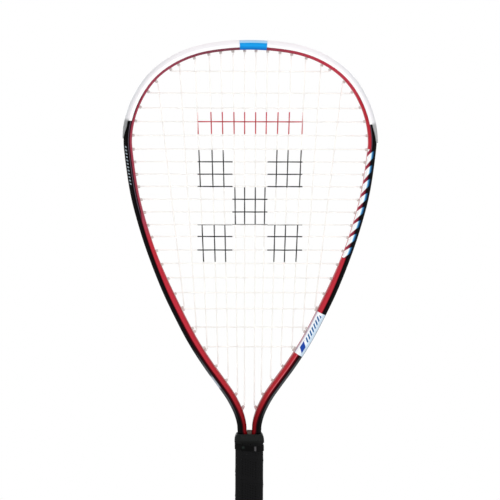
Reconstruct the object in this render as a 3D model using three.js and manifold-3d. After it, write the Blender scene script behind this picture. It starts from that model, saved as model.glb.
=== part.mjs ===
// A racquetball racket, upright: X across the head, Y through its depth with the front face
// towards -Y, and Z up from the butt at zero. A hollow tube bends into the tear-drop head and
// its two legs run down into the handle. It carries the guard, the grommets and the strings.
// All lengths are in millimetres. Names that end in share or shares are parts of a named size.
import * as THREE from "three";
import { mergeVertices } from "three/addons/utils/BufferGeometryUtils.js";
import Module from "manifold-3d";

const wasm = await Module();
wasm.setup();

// Whole racket
const overallLength = 558.8;
const fitGap = 0.3; // between pieces that touch on the real racket
const cutOverrun = 2; // how far a cutting shape runs past what it cuts
const weldDistance = 0.0001;

// Head and legs, measured to the middle of the tube
const hoopHalfWidth = 120.2;
const legGap = 2.65; // from the middle of the racket to each leg at the throat
const legGapInHandle = 0.6;
const legEndHeight = 12;
const longestStep = 55; // along the tube, between two of its rings
const sharpestStep = THREE.MathUtils.degToRad(11.5);

// The right half of the head, from its top down: shares of hoopHalfWidth and of the height of
// the head above the throat.
const hoopShares = [
  [0, 1],
  [0.22, 0.996],
  [0.42, 0.985],
  [0.587, 0.965],
  [0.735, 0.935],
  [0.841, 0.9],
  [0.932, 0.85],
  [0.983, 0.8],
  [1, 0.755],
  [0.992, 0.72],
  [0.946, 0.62],
  [0.891, 0.55],
  [0.811, 0.47],
  [0.697, 0.38],
  [0.577, 0.3],
  [0.46, 0.23],
  [0.338, 0.17],
  [0.235, 0.125],
  [0.162, 0.092],
  [0.118, 0.067],
  [0.092, 0.049],
  [0.071, 0.028],
  [0.0615, 0.012],
];
const legBendShares = [0.35, 0.8, 1]; // from the throat down to the pallets

// Section of the tube: its width lies in the plane of the strings, its depth along Y
const tubeWidthHead = 8.2;
const tubeWidthSide = 9.6;
const tubeWidthThroat = 9.1;
const tubeWidthHandle = 8.4;
const tubeDepthHead = 19;
const tubeDepthSide = 20.5;
const tubeDepthThroat = 21;
const tubeDepthHandle = 14;
const sideHeightShare = 0.33; // of the head: up to here the tube grows to its side width
const headHeightShare = 0.48; // and from here up it has its head width
const tubeWall = 1;
const outerBevelWidth = 3.2;
const outerBevelDepth = 4;
const innerBevelWidth = 2;
const innerBevelDepth = 2.6;
const grooveHalfWidth = 3.5;
const grooveDepth = 3.2;
const grooveEndRun = 6; // past the last grommet

// Strings
const stringRadius = 0.62;
const stringSides = 6;
const stringGap = 0.32; // between the mains and the crosses
const runClearance = 0.33; // beside a run in the outer groove
const runSideStep = 2.4; // along the groove, from a hole to where the run has moved aside
const bendRadius = 0.9;
const roundedFrom = THREE.MathUtils.degToRad(55); // bends sharper than this are rounded
const stopperClearance = 0.32;
const stopperHeight = 1.6;
const stopperShares = [
  [0, 0.5],
  [0.25, 1],
  [1, 0.75],
]; // of its height and its radius, from the hole outwards

// Mains of the right half, from the middle out: shares of hoopHalfWidth at the top and bottom
const mainTopShares = [0.046, 0.141, 0.24, 0.335, 0.451, 0.576, 0.753];
const mainBottomShares = [0.04, 0.097, 0.173, 0.258, 0.347, 0.436, 0.536];
// Crosses, from the top: shares of the height of the head above the throat
const crossShares = [
  0.933, 0.877, 0.838, 0.803, 0.767, 0.732, 0.699, 0.667, 0.635, 0.602, 0.569, 0.536, 0.505,
  0.47, 0.435, 0.398, 0.359, 0.317, 0.269, 0.218,
];

// Grommets
const boreClearance = 0.43; // round a string
const barrelWall = 0.45;
const barrelSides = 6;
const drillClearance = 0.35; // round a barrel in the tube
const nubLength = 2.4; // how far a barrel stands out inside the head
const nubToBend = 0.95;
const stripWall = 0.8;
const stripFloor = 0.8;
const throatBaseLength = 6.5;
const throatTilt = THREE.MathUtils.degToRad(42); // of the innermost barrel, towards the head
const secondTilt = THREE.MathUtils.degToRad(20);

// Guard round the top of the head, and its clip
const guardThickness = 1.3;
const guardCover = 5.8; // of the tube's width, on the front and the back
const guardCrosses = 5; // crosses whose barrels are on the guard
const guardWingCrosses = 4; // crosses down to which it covers the front
const guardTaperCrosses = 4.5; // crosses from which its tail narrows
const guardTailShare = 0.65; // of the bevel, under its tail
const guardTipShare = 0.1; // the same at the tail's tip
const wingEndLength = 0.6; // along the tube: the wing draws back to the bevel in two of these
const bandWidth = 26.6;
const bandOffset = 2.8;
const bandThickness = 0.5;

// Handle: two pallets that make an octagon round the legs
const palletTopHeight = 163.8;
const palletSideWall = 2.7; // beside the legs
const palletFaceWall = 3.3; // before and behind them
const palletBevel = 5.4;
const gripThickness = 1.1;
const gripBottomHeight = 21;
const ridgeWidth = 3;
const ridgeHeight = 0.45;
const ridgePitch = 24;
const ridgeSink = 0.5;
const ridgeEndClearance = 3;
const tapeThickness = 0.4;
const tapeDrop = 3; // below the top of the pallets
const tapeWidth = 7;

// Collar, with its lip round the grip
const collarRise = 9.4; // above the top of the pallets
const collarToTape = 1;
const collarLip = 0.6;
const collarRim = 0.5;
const collarRimBevel = 2;
const collarShoulderShare = 0.24; // up the collar, where its wide part ends

// Throat, with its insert
const throatRise = 0.8; // above the collar
const insertRise = 2.2; // above the collar
const insertDepth = 15;

// Butt cap
const capFlare = 4.4; // past the pallets, all round
const capFoot = 3.2;
const capWall = 1;
const capFloor = 3;
const capSkirtLength = 17; // under the grip
const capShoulderShares = [0.08, 0.36, 0.8]; // of the height below the grip
const lanyardHoleRadius = 4;
const lanyardHoleSides = 16;

// Staples through the skirt of the cap
const stapleRise = 9; // above the end of the grip
const stapleSpan = 9;
const stapleWire = 1;
const stapleCrown = 0.4;
const stapleLeg = 2.6;
const staplePocket = 0.6;

// Sizes that follow: the handle, from its parts' thicknesses
const legSpread = tubeWidthThroat / 2 + legGap; // from the middle of the racket to a leg's middle
const legSpreadInHandle = tubeWidthHandle / 2 + legGapInHandle;
const legsHalfWidth = legSpreadInHandle + tubeWidthHandle / 2;
const legsHalfDepth = tubeDepthHandle / 2;
const palletHalfWidth = legsHalfWidth + fitGap + palletSideWall;
const palletHalfDepth = legsHalfDepth + fitGap + palletFaceWall;

// Heights that follow
const tapeTopHeight = palletTopHeight - tapeDrop;
const collarBottomHeight = tapeTopHeight + collarToTape;
const collarTopHeight = palletTopHeight + collarRise;
const insertTopHeight = collarTopHeight + insertRise;
const throatHeight = collarTopHeight + throatRise;
const capSkirtHeight = gripBottomHeight + capSkirtLength;
const stapleHeight = gripBottomHeight + stapleRise;
const headTopHeight =
  overallLength - bandThickness - guardThickness - fitGap * 2 - tubeWidthHead / 2;
const headHeight = headTopHeight - throatHeight;
const guardTop = fitGap + guardThickness;

// Strings and grommets that follow
const mainLayer = stringRadius + stringGap / 2; // mains this far behind the middle, crosses before it
const boreRadius = stringRadius + boreClearance;
const barrelRadius = boreRadius + barrelWall;
const channelHalfWidth = grooveHalfWidth - fitGap - stripWall;
const mainRunLayer = channelHalfWidth - runClearance - stringRadius;
const stopperRadius = channelHalfWidth - stopperClearance - mainLayer;

// A closed body from rings of points, with flat ends. The outline is one ring drawn flat.
function loft(rings, outline) {
  const sides = rings[0].length;
  const last = (rings.length - 1) * sides;
  const triangles = [];
  for (let start = 0; start < last; start += sides) {
    for (let side = 0; side < sides; side++) {
      const a = start + side;
      const b = start + ((side + 1) % sides);
      triangles.push([a, b, a + sides], [b, b + sides, a + sides]);
    }
  }
  const clockwise = THREE.ShapeUtils.isClockWise(outline);
  for (const cap of THREE.ShapeUtils.triangulateShape(outline, [])) {
    const [a, b, c] = clockwise ? [...cap].reverse() : cap;
    triangles.push([a, c, b], [last + a, last + b, last + c]);
  }
  const points = rings.flat();
  let volume = 0;
  for (const [a, b, c] of triangles) {
    volume += points[a].dot(points[b].clone().cross(points[c]));
  }
  const facingOut = volume < 0 ? triangles.map((t) => [...t].reverse()) : triangles;
  const geometry = new THREE.BufferGeometry().setFromPoints(points);
  geometry.setIndex(facingOut.flat());
  return solidOf(geometry);
}

function solidOf(geometry) {
  const bare = geometry.clone();
  bare.deleteAttribute("normal");
  bare.deleteAttribute("uv");
  const merged = mergeVertices(bare, weldDistance);
  return new wasm.Manifold(
    new wasm.Mesh({
      numProp: 3,
      vertProperties: new Float32Array(merged.attributes.position.array),
      triVerts: new Uint32Array(merged.index.array),
    }),
  );
}

function joined(solids) {
  return solids.reduce((whole, solid) => whole.add(solid));
}

function block(width, depth, height, centre) {
  const box = new THREE.BoxGeometry(width, depth, height);
  return solidOf(box.translate(centre.x, centre.y, centre.z));
}

// The middle line of the tube: the head from the left leg over the top to the right leg
const legBendHeight = throatHeight - palletTopHeight;
const rightHalf = [
  ...hoopShares.map(([x, z]) => [x * hoopHalfWidth, throatHeight + z * headHeight]),
  [legSpread, throatHeight],
  ...legBendShares.map((share) => [
    legSpread + (legSpreadInHandle - legSpread) * THREE.MathUtils.smoothstep(share, 0, 1),
    throatHeight - share * legBendHeight,
  ]),
  [legSpreadInHandle, (palletTopHeight + legEndHeight) / 2],
  [legSpreadInHandle, legEndHeight],
].map(([x, z]) => new THREE.Vector3(x, 0, z));
const mirrored = (p) => new THREE.Vector3(-p.x, p.y, p.z);
const leftHalf = rightHalf.slice(1).map(mirrored).reverse();
const hoopCurve = new THREE.CatmullRomCurve3([...leftHalf, ...rightHalf]);
hoopCurve.arcLengthDivisions = 3000;
const halfRun = hoopCurve.getLength() / 2;

function stepSize(low, high, from, to, height) {
  return from + (to - from) * THREE.MathUtils.smoothstep(height, low, high);
}

// Width and depth of the tube at a height
function tubeSize(height) {
  const side = throatHeight + sideHeightShare * headHeight;
  const head = throatHeight + headHeightShare * headHeight;
  if (height < throatHeight) {
    return [
      stepSize(palletTopHeight, throatHeight, tubeWidthHandle, tubeWidthThroat, height),
      stepSize(palletTopHeight, throatHeight, tubeDepthHandle, tubeDepthThroat, height),
    ];
  }
  if (height < side) {
    return [
      stepSize(throatHeight, side, tubeWidthThroat, tubeWidthSide, height),
      stepSize(throatHeight, side, tubeDepthThroat, tubeDepthSide, height),
    ];
  }
  return [
    stepSize(side, head, tubeWidthSide, tubeWidthHead, height),
    stepSize(side, head, tubeDepthSide, tubeDepthHead, height),
  ];
}

// Rings of the right half, closer where the tube bends: run is the distance from the top
function hoopRings() {
  const fineSteps = 1200;
  const fine = [];
  for (let i = 0; i <= fineSteps; i++) {
    const share = 0.5 + i / fineSteps / 2;
    const tangent = hoopCurve.getTangentAt(share);
    fine.push({ run: (i / fineSteps) * halfRun, point: hoopCurve.getPointAt(share), tangent });
  }
  const effort = [0];
  for (let i = 1; i <= fineSteps; i++) {
    const turn = fine[i].tangent.angleTo(fine[i - 1].tangent);
    const step = fine[i].run - fine[i - 1].run;
    effort.push(effort[i - 1] + step / longestStep + turn / sharpestStep);
  }
  const count = Math.ceil(effort[fineSteps]);
  const rings = [];
  let i = 0;
  for (let ring = 0; ring <= count; ring++) {
    const wanted = (effort[fineSteps] * ring) / count;
    while (i < fineSteps && effort[i] < wanted) i++;
    const { run, point, tangent } = fine[i];
    const [width, depth] = tubeSize(point.z);
    rings.push({ run, point, width, depth, outward: new THREE.Vector3(-tangent.z, 0, tangent.x) });
  }
  rings[0].outward.set(0, 0, 1);
  return rings;
}
const halfRings = hoopRings();

// The tube at a run: the left half has negative runs
function hoopAt(run) {
  const away = Math.min(Math.abs(run), halfRun);
  let i = 0;
  while (i < halfRings.length - 2 && halfRings[i + 1].run < away) i++;
  const [above, below] = [halfRings[i], halfRings[i + 1]];
  const share = (away - above.run) / (below.run - above.run);
  const point = above.point.clone().lerp(below.point, share);
  const outward = above.outward.clone().lerp(below.outward, share);
  return {
    point: run < 0 ? mirrored(point) : point,
    outward: run < 0 ? mirrored(outward) : outward,
    width: above.width + (below.width - above.width) * share,
    depth: above.depth + (below.depth - above.depth) * share,
  };
}

// A point at a run, so far out of the middle line and so far back
function hoopPoint(run, out, back) {
  const { point, outward } = hoopAt(run);
  const place = point.addScaledVector(outward, out);
  return place.setY(back);
}

// Runs from one end to the other, with each ring of the tube between them, and with added ones
function runsBetween(from, to, added = []) {
  const inside = [...halfRings.map(({ run }) => run), ...added]
    .flatMap((run) => (run ? [run, -run] : [run]))
    .filter((run) => run > from + weldDistance && run < to - weldDistance)
    .sort((a, b) => a - b);
  return [from, ...inside, to];
}

// A body that follows the tube: its section gives [out, back] for half a width and depth
function alongHoop(from, to, section, added) {
  const outlineAt = (run) => {
    const { width, depth } = hoopAt(run);
    return section(width / 2, depth / 2, run);
  };
  const rings = runsBetween(from, to, added).map((run) =>
    outlineAt(run).map(([out, back]) => hoopPoint(run, out, back)),
  );
  return loft(
    rings,
    outlineAt(from).map(([out, back]) => new THREE.Vector2(out, back)),
  );
}

// A section is even front to back, so half of it is enough
function bothFaces(half) {
  return [...half, ...half.map(([out, back]) => [out, -back]).reverse()];
}

// A round bar or string through points: mitred at each, with a radius at each
function bar(points, radii, sides) {
  const directions = points.slice(1).map((p, i) => p.clone().sub(points[i]).normalize());
  const first = directions[0];
  const aside = new THREE.Vector3(0, 1, 0);
  if (Math.abs(first.dot(aside)) > Math.SQRT1_2) aside.set(1, 0, 0);
  const across = aside.clone().cross(first).normalize();
  const up = first.clone().cross(across);
  let spokes = [];
  const outline = [];
  for (let side = 0; side < sides; side++) {
    const angle = (2 * Math.PI * (side + 0.5)) / sides;
    const [x, y] = [Math.cos(angle), Math.sin(angle)];
    spokes.push(across.clone().multiplyScalar(x).addScaledVector(up, y));
    outline.push(new THREE.Vector2(x, y));
  }
  const rings = points.map((point, i) => {
    const before = directions[Math.max(i - 1, 0)];
    const after = directions[Math.min(i, directions.length - 1)];
    const mitre = before.clone().add(after).normalize();
    const ring = spokes.map((spoke) => {
      const slide = -spoke.dot(mitre) / before.dot(mitre);
      return spoke.clone().addScaledVector(before, slide);
    });
    spokes = ring.map((spoke) => spoke.clone().addScaledVector(after, -spoke.dot(after)));
    return ring.map((spoke) => point.clone().addScaledVector(spoke, radii[i]));
  });
  return loft(rings, outline);
}

function rod(start, end, radius, sides) {
  return bar([start, end], [radius, radius], sides);
}

// Each sharp corner of a route becomes two points, a bend radius to either side
function rounded(route) {
  return route.flatMap((point, i) => {
    if (i === 0 || i === route.length - 1) return [point];
    const toBefore = route[i - 1].clone().sub(point);
    const toAfter = route[i + 1].clone().sub(point);
    if (Math.PI - toBefore.angleTo(toAfter) < roundedFrom) return [point];
    return [toBefore, toAfter].map((way) => point.clone().addScaledVector(way.normalize(), bendRadius));
  });
}

// Section of the tube and what is cut from it
const tubeOutline = (half, deep) =>
  bothFaces([
    [-half, deep - innerBevelDepth],
    [-half + innerBevelWidth, deep],
    [half - outerBevelWidth, deep],
    [half, deep - outerBevelDepth],
  ]);
const cavityOutline = (half, deep) =>
  bothFaces([
    [-half + tubeWall, deep - innerBevelDepth - tubeWall / 2],
    [-half + innerBevelWidth + tubeWall / 2, deep - tubeWall],
    [half - outerBevelWidth - tubeWall / 2, deep - tubeWall],
    [half - grooveDepth - tubeWall, grooveHalfWidth + tubeWall],
  ]);
const grooveOutline = (half) =>
  bothFaces([
    [half - grooveDepth, grooveHalfWidth],
    [half + cutOverrun, grooveHalfWidth],
  ]);

// Levels, out of the middle line
const stripLevel = (half) => half - grooveDepth + fitGap;
const runLevel = (half) => stripLevel(half) + stripFloor + fitGap + stringRadius;
const nubLevel = (half) => -half - nubLength;
const bendLevel = (half) => nubLevel(half) - nubToBend;

// A hole for a string: its run, the layer of its string, and the tilt of its barrel
function holePoint({ run, layer, tilt }, level) {
  const { point, outward, width } = hoopAt(run);
  const down = new THREE.Vector3(outward.z, 0, -outward.x).multiplyScalar(run < 0 ? -1 : 1);
  const out = level(width / 2);
  const place = point.addScaledVector(outward, out).addScaledVector(down, out * Math.tan(tilt));
  return place.setY(layer);
}

// The run between two others at which a string's bend comes to a wanted x or z
function findHole(axis, wanted, from, to, layer, tilt) {
  let [near, far] = [from, to];
  const misses = (run) => holePoint({ run, layer, tilt }, bendLevel)[axis] - wanted;
  const sign = Math.sign(misses(near));
  for (let i = 0; i < 50; i++) {
    const middle = (near + far) / 2;
    if (Math.sign(misses(middle)) === sign) near = middle;
    else far = middle;
  }
  return { run: (near + far) / 2, layer, tilt };
}

const widest = halfRings.reduce((a, b) => (b.point.x > a.point.x ? b : a)).run;
const throatRun = halfRings.find(({ point }) => point.z <= throatHeight).run;
const topHoles = mainTopShares.map((share) =>
  findHole("x", share * hoopHalfWidth, 0, widest, mainLayer, 0),
);
const bottomTilts = [throatTilt, secondTilt];
const bottomHoles = mainBottomShares.map((share, i) =>
  findHole("x", share * hoopHalfWidth, widest, throatRun, mainLayer, bottomTilts[i] ?? 0),
);
const crossHoles = crossShares.map((share) =>
  findHole("z", throatHeight + share * headHeight, 0, throatRun, -mainLayer, 0),
);
const mirroredHole = (hole) => ({ ...hole, run: -hole.run });

// Where a barrel leaves the tube on its outer side, as a run
function exitRun({ run, tilt }) {
  const { width } = hoopAt(run);
  return run + Math.sign(run) * runLevel(width / 2) * Math.tan(tilt);
}

// A string in the outer groove, from above one hole to above the next
function grooveRun(first, second, side) {
  const [from, to] = [exitRun(first), exitRun(second)];
  const way = Math.sign(to - from);
  const [start, end] = [from + way * runSideStep, to - way * runSideStep];
  const runs = runsBetween(Math.min(start, end), Math.max(start, end));
  if (way < 0) runs.reverse();
  return runs.map((run) => hoopPoint(run, runLevel(hoopAt(run).width / 2), side * mainRunLayer));
}

const throughIn = (hole) => [holePoint(hole, runLevel), holePoint(hole, bendLevel)];
const throughOut = (hole) => throughIn(hole).reverse();

// The end of a string: a stopper knot over its hole, drawn against the floor of the channel
function stopper(hole) {
  const floor = (half) => stripLevel(half) + stripFloor + fitGap;
  const points = stopperShares.map(([rise]) =>
    holePoint(hole, (half) => floor(half) + rise * stopperHeight),
  );
  const radii = stopperShares.map(([, width]) => width * stopperRadius);
  return bar(points, radii, stringSides);
}

function stringBody(route, ends) {
  const path = rounded(route);
  const radii = path.map(() => stringRadius);
  return joined([bar(path, radii, stringSides), ...ends.map(stopper)]);
}

// Both halves of the mains are one string: it goes over the top in the middle and ends at
// the outermost bottom holes.
function mainString() {
  const half = [];
  topHoles.forEach((top, i) => {
    const bottom = bottomHoles[i];
    const down = [...throughIn(top), ...throughOut(bottom)];
    half.push(...(i % 2 ? down.reverse() : down));
    if (i + 1 === topHoles.length) return;
    const turns = i % 2 ? topHoles : bottomHoles;
    half.push(...grooveRun(turns[i], turns[i + 1], 1));
  });
  const overTop = grooveRun(mirroredHole(topHoles[0]), topHoles[0], 1);
  const route = [...half.map(mirrored).reverse(), ...overTop, ...half];
  const last = bottomHoles.at(-1);
  return stringBody(route, [last, mirroredHole(last)]);
}

// The crosses go from side to side, starting at the top left
function crossString() {
  const route = [];
  crossHoles.forEach((hole, i) => {
    const across = i % 2 ? [hole, mirroredHole(hole)] : [mirroredHole(hole), hole];
    route.push(...throughIn(across[0]), ...throughOut(across[1]));
    const next = crossHoles[i + 1];
    if (next) route.push(...grooveRun(across[1], i % 2 ? mirroredHole(next) : next, -1));
  });
  const last = crossHoles.at(-1);
  return stringBody(route, [mirroredHole(crossHoles[0]), mirroredHole(last)]);
}

// A grommet piece: its barrels joined to its base, and bored
function withBarrels(base, holes) {
  const barrels = holes.map((hole) => {
    const foot = holePoint(hole, (half) => stripLevel(half) + stripFloor / 2);
    return rod(foot, holePoint(hole, nubLevel), barrelRadius, barrelSides);
  });
  const bores = holes.map((hole) => {
    const start = holePoint(hole, (half) => half + cutOverrun);
    const end = holePoint(hole, (half) => nubLevel(half) - cutOverrun);
    return rod(start, end, boreRadius, barrelSides);
  });
  return bores.reduce((solid, bore) => solid.subtract(bore), joined([base, ...barrels]));
}

// A strip lines the outer groove and stays below the face of the tube
const stripOutline = (half) =>
  bothFaces([
    [stripLevel(half), grooveHalfWidth - fitGap],
    [half - fitGap, grooveHalfWidth - fitGap],
    [half - fitGap, channelHalfWidth],
    [stripLevel(half) + stripFloor, channelHalfWidth],
  ]);

function strip(from, to, holes) {
  return withBarrels(alongHoop(from, to, stripOutline), holes);
}

// The guard lines the groove and wraps the outer side of the tube. Its wings cover the front
// and the back, and draw back to the bevels on its two tails, which narrow to their tips.
const wingEndRun = crossRunAt(guardWingCrosses);
const taperRun = crossRunAt(guardTaperCrosses);
const guardEndRun = crossRunAt(guardCrosses + 0.5);

// The run at a cross, counted from one, or between two of them
function crossRunAt(number) {
  const i = Math.floor(number) - 1;
  const [above, below] = [crossHoles[i].run, crossHoles[i + 1].run];
  return above + (below - above) * (number - Math.floor(number));
}

// How much of the bevel the tail covers: all of it at the wing's end, and little at its tip
function tailCover(away) {
  const { clamp } = THREE.MathUtils;
  const atWing = clamp((wingEndRun - away) / wingEndLength + 2, 0, 1);
  const atTip = clamp((away - taperRun) / (guardEndRun - taperRun), 0, 1);
  return guardTailShare + (1 - guardTailShare) * atWing + (guardTipShare - guardTailShare) * atTip;
}

function guardOutline(half, deep, run) {
  const innerFoot = [half + fitGap, deep - outerBevelDepth];
  const outerFoot = [half + guardTop, deep - outerBevelDepth + guardThickness / 3];
  const innerShoulder = [half - outerBevelWidth, deep + fitGap];
  const outerShoulder = [half - outerBevelWidth + guardThickness / 3, deep + guardTop];
  const partWay = ([x, y], [toX, toY], share) => [x + (toX - x) * share, y + (toY - y) * share];
  const reach = half - guardCover;
  const wing = [innerShoulder, [reach, deep + fitGap], [reach, deep + guardTop], outerShoulder];
  const cover = tailCover(Math.abs(run));
  const innerEnd = partWay(innerFoot, innerShoulder, cover);
  const outerEnd = partWay(outerFoot, outerShoulder, cover);
  const tail = [0, 1 / 3, 2 / 3, 1].map((share) => partWay(innerEnd, outerEnd, share));
  return bothFaces([
    [stripLevel(half), grooveHalfWidth - fitGap],
    [half + fitGap, grooveHalfWidth - fitGap],
    innerFoot,
    ...(Math.abs(run) > wingEndRun ? tail : wing),
    outerFoot,
    [half + guardTop, channelHalfWidth],
    [stripLevel(half) + stripFloor, channelHalfWidth],
  ]);
}

function guard() {
  const holes = [...topHoles, ...crossHoles.slice(0, guardCrosses)];
  const steps = [0, 1, 2].map((step) => wingEndRun + step * wingEndLength);
  const base = alongHoop(-guardEndRun, guardEndRun, guardOutline, [...steps, taperRun]);
  return withBarrels(base, [...holes, ...holes.map(mirroredHole)]);
}

// The clip spans the guard and the tube, with lips that fill the step between them
function band() {
  const from = bandOffset - bandWidth / 2;
  const wrap = guardTop + fitGap;
  return alongHoop(from, from + bandWidth, (half, deep) => {
    const lip = half - guardCover - fitGap;
    return bothFaces([
      [half + wrap, deep - outerBevelDepth + guardThickness / 3],
      [half - outerBevelWidth + guardThickness / 3, deep + wrap],
      [lip, deep + wrap],
      [lip, deep + fitGap],
      [-half, deep + fitGap],
      [-half, deep + wrap + bandThickness],
      [half - outerBevelWidth + bandThickness, deep + wrap + bandThickness],
      [half + wrap + bandThickness, deep - outerBevelDepth + bandThickness],
    ]);
  });
}

const lastExit = exitRun(bottomHoles[0]);
const grooveEnd = lastExit + grooveEndRun;
const secondBaseStart = exitRun(bottomHoles[1]) - throatBaseLength / 2;

function frame() {
  const end = halfRun;
  const tube = alongHoop(-end, end, tubeOutline);
  const cavity = alongHoop(-end, end, cavityOutline);
  const groove = alongHoop(-grooveEnd, grooveEnd, grooveOutline);
  const holes = [...topHoles, ...bottomHoles, ...crossHoles];
  const drills = [...holes, ...holes.map(mirroredHole)].map((hole) => {
    const start = holePoint(hole, (half) => half + cutOverrun);
    const finish = holePoint(hole, (half) => -half - cutOverrun);
    return rod(start, finish, barrelRadius + drillClearance, barrelSides);
  });
  const openTube = tube.subtract(cavityWithOpenEnds(cavity));
  return drills.reduce((solid, drill) => solid.subtract(drill), openTube.subtract(groove));
}

// The cavity runs out through both ends of the legs
function cavityWithOpenEnds(cavity) {
  const { point, width, depth } = hoopAt(halfRun);
  const half = width / 2;
  const outline = cavityOutline(half, depth / 2);
  const ends = [1, -1].map((side) => {
    const ring = (z) => outline.map(([out, back]) => new THREE.Vector3(side * (point.x + out), back, z));
    const flat = outline.map(([out, back]) => new THREE.Vector2(out, back));
    return loft([ring(point.z - cutOverrun), ring(point.z + cutOverrun)], flat);
  });
  return joined([cavity, ...ends]);
}

// A ring of the handle at a height, so far outside the pallets
function octagon(height, outset, width = palletHalfWidth, depth = palletHalfDepth, bevel = palletBevel) {
  const x = width + outset;
  const y = depth + outset;
  const cut = bevel + outset * (2 - Math.SQRT2);
  return [
    [x, y - cut],
    [x - cut, y],
    [cut - x, y],
    [-x, y - cut],
    [-x, cut - y],
    [cut - x, -y],
    [x - cut, -y],
    [x, cut - y],
  ].map(([a, b]) => new THREE.Vector3(a, b, height));
}

function stack(rings) {
  return loft(
    rings,
    rings[0].map(({ x, y }) => new THREE.Vector2(x, y)),
  );
}

// The two pallets close round the legs. Their lower end is cut back for the skirt of the cap.
const skirtOutset = -capWall - fitGap;
function pallets() {
  const bottom = capFloor + fitGap;
  const step = capSkirtHeight + fitGap;
  const outside = stack([
    octagon(bottom, skirtOutset),
    octagon(step, skirtOutset),
    octagon(step + fitGap, 0),
    octagon(palletTopHeight, 0),
  ]);
  const legs = [legsHalfWidth, legsHalfDepth, outerBevelWidth];
  const hollow = stack([
    octagon(bottom - cutOverrun, fitGap, ...legs),
    octagon(palletTopHeight + cutOverrun, fitGap, ...legs),
  ]);
  return outside.subtract(hollow);
}

function palletHalf(side) {
  const size = palletHalfWidth * 3;
  const centre = new THREE.Vector3(0, (side * (size + fitGap)) / 2, palletTopHeight / 2);
  return pallets().intersect(block(size, size, palletTopHeight * 2, centre));
}

// The grip is a sleeve with the overlap of its winding as a rising ridge
function grip() {
  const outside = fitGap + gripThickness;
  const sleeve = stack([octagon(gripBottomHeight, outside), octagon(palletTopHeight, outside)]);
  const bore = stack([
    octagon(gripBottomHeight - cutOverrun, fitGap),
    octagon(palletTopHeight + cutOverrun, fitGap),
  ]);
  return sleeve.add(ridge(outside)).subtract(bore);
}

function ridge(outside) {
  const low = gripBottomHeight + ridgeEndClearance + ridgeWidth / 2;
  const high = tapeTopHeight - tapeWidth - ridgeEndClearance - ridgeWidth / 2;
  const corners = octagon(0, 0).length;
  const steps = Math.floor(((high - low) / ridgePitch) * corners);
  const rings = [];
  for (let step = 0; step <= steps; step++) {
    const height = low + (step * ridgePitch) / corners;
    const corner = step % corners;
    const inner = octagon(height, outside - ridgeSink)[corner];
    const outer = octagon(height, outside + ridgeHeight)[corner];
    const edge = new THREE.Vector3(0, 0, ridgeWidth / 2);
    rings.push([
      inner.clone().sub(edge),
      outer.clone().addScaledVector(edge, -0.5),
      outer.clone().add(edge),
      inner.clone().add(edge),
    ]);
  }
  const outline = [
    [0, 0],
    [1, 0],
    [1, 1],
    [0, 1],
  ].map(([x, y]) => new THREE.Vector2(x, y));
  return loft(rings, outline);
}

// A tape wound round the top end of the grip
function finishingTape() {
  const inside = fitGap * 2 + gripThickness;
  const bottom = tapeTopHeight - tapeWidth;
  const outer = stack([
    octagon(bottom, inside + tapeThickness),
    octagon(tapeTopHeight, inside + tapeThickness),
  ]);
  const inner = stack([
    octagon(bottom - cutOverrun, inside),
    octagon(tapeTopHeight + cutOverrun, inside),
  ]);
  return outer.subtract(inner);
}

// The collar: a rubber sleeve, wide round the top of the grip and thin round the legs
function collar() {
  const lipInside = fitGap * 2 + gripThickness;
  const lipOutside = lipInside + collarLip;
  const tall = collarTopHeight - collarBottomHeight;
  const shoulder = collarBottomHeight + tall * collarShoulderShare;
  const [topWidth, topDepth] = tubeSize(collarTopHeight);
  const legs = [
    legSpread + topWidth / 2 + fitGap,
    topDepth / 2 + fitGap,
    outerBevelWidth,
  ];
  const rim = (height, outset) => octagon(height, outset, ...legs);
  const outer = stack([
    octagon(collarBottomHeight, lipOutside),
    octagon(shoulder, lipOutside),
    rim(collarTopHeight - collarRimBevel, collarRim * 2),
    rim(collarTopHeight, collarRim),
  ]);
  const inner = stack([
    octagon(collarBottomHeight - cutOverrun, lipInside),
    octagon(palletTopHeight + fitGap, lipInside),
    rim(palletTopHeight + fitGap * 2, 0),
    rim(collarTopHeight + cutOverrun, 0),
  ]);
  return outer.subtract(inner);
}

// The wedge between the legs, which follows their inner sides
function throatInsert() {
  const bottom = palletTopHeight + fitGap;
  const runs = halfRings
    .filter(({ point }) => point.z < insertTopHeight && point.z > bottom)
    .map(({ run }) => run);
  const runAt = (height) => {
    let [near, far] = [widest, halfRun];
    for (let i = 0; i < 50; i++) {
      const middle = (near + far) / 2;
      if (hoopAt(middle).point.z > height) near = middle;
      else far = middle;
    }
    return near;
  };
  const half = insertDepth / 2;
  const rings = [runAt(insertTopHeight), ...runs, runAt(bottom)].map((run) => {
    const inner = hoopPoint(run, -hoopAt(run).width / 2 - fitGap, 0);
    return [
      [inner.x, half],
      [-inner.x, half],
      [-inner.x, -half],
      [inner.x, -half],
    ].map(([x, y]) => new THREE.Vector3(x, y, inner.z));
  });
  return stack(rings);
}

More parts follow.
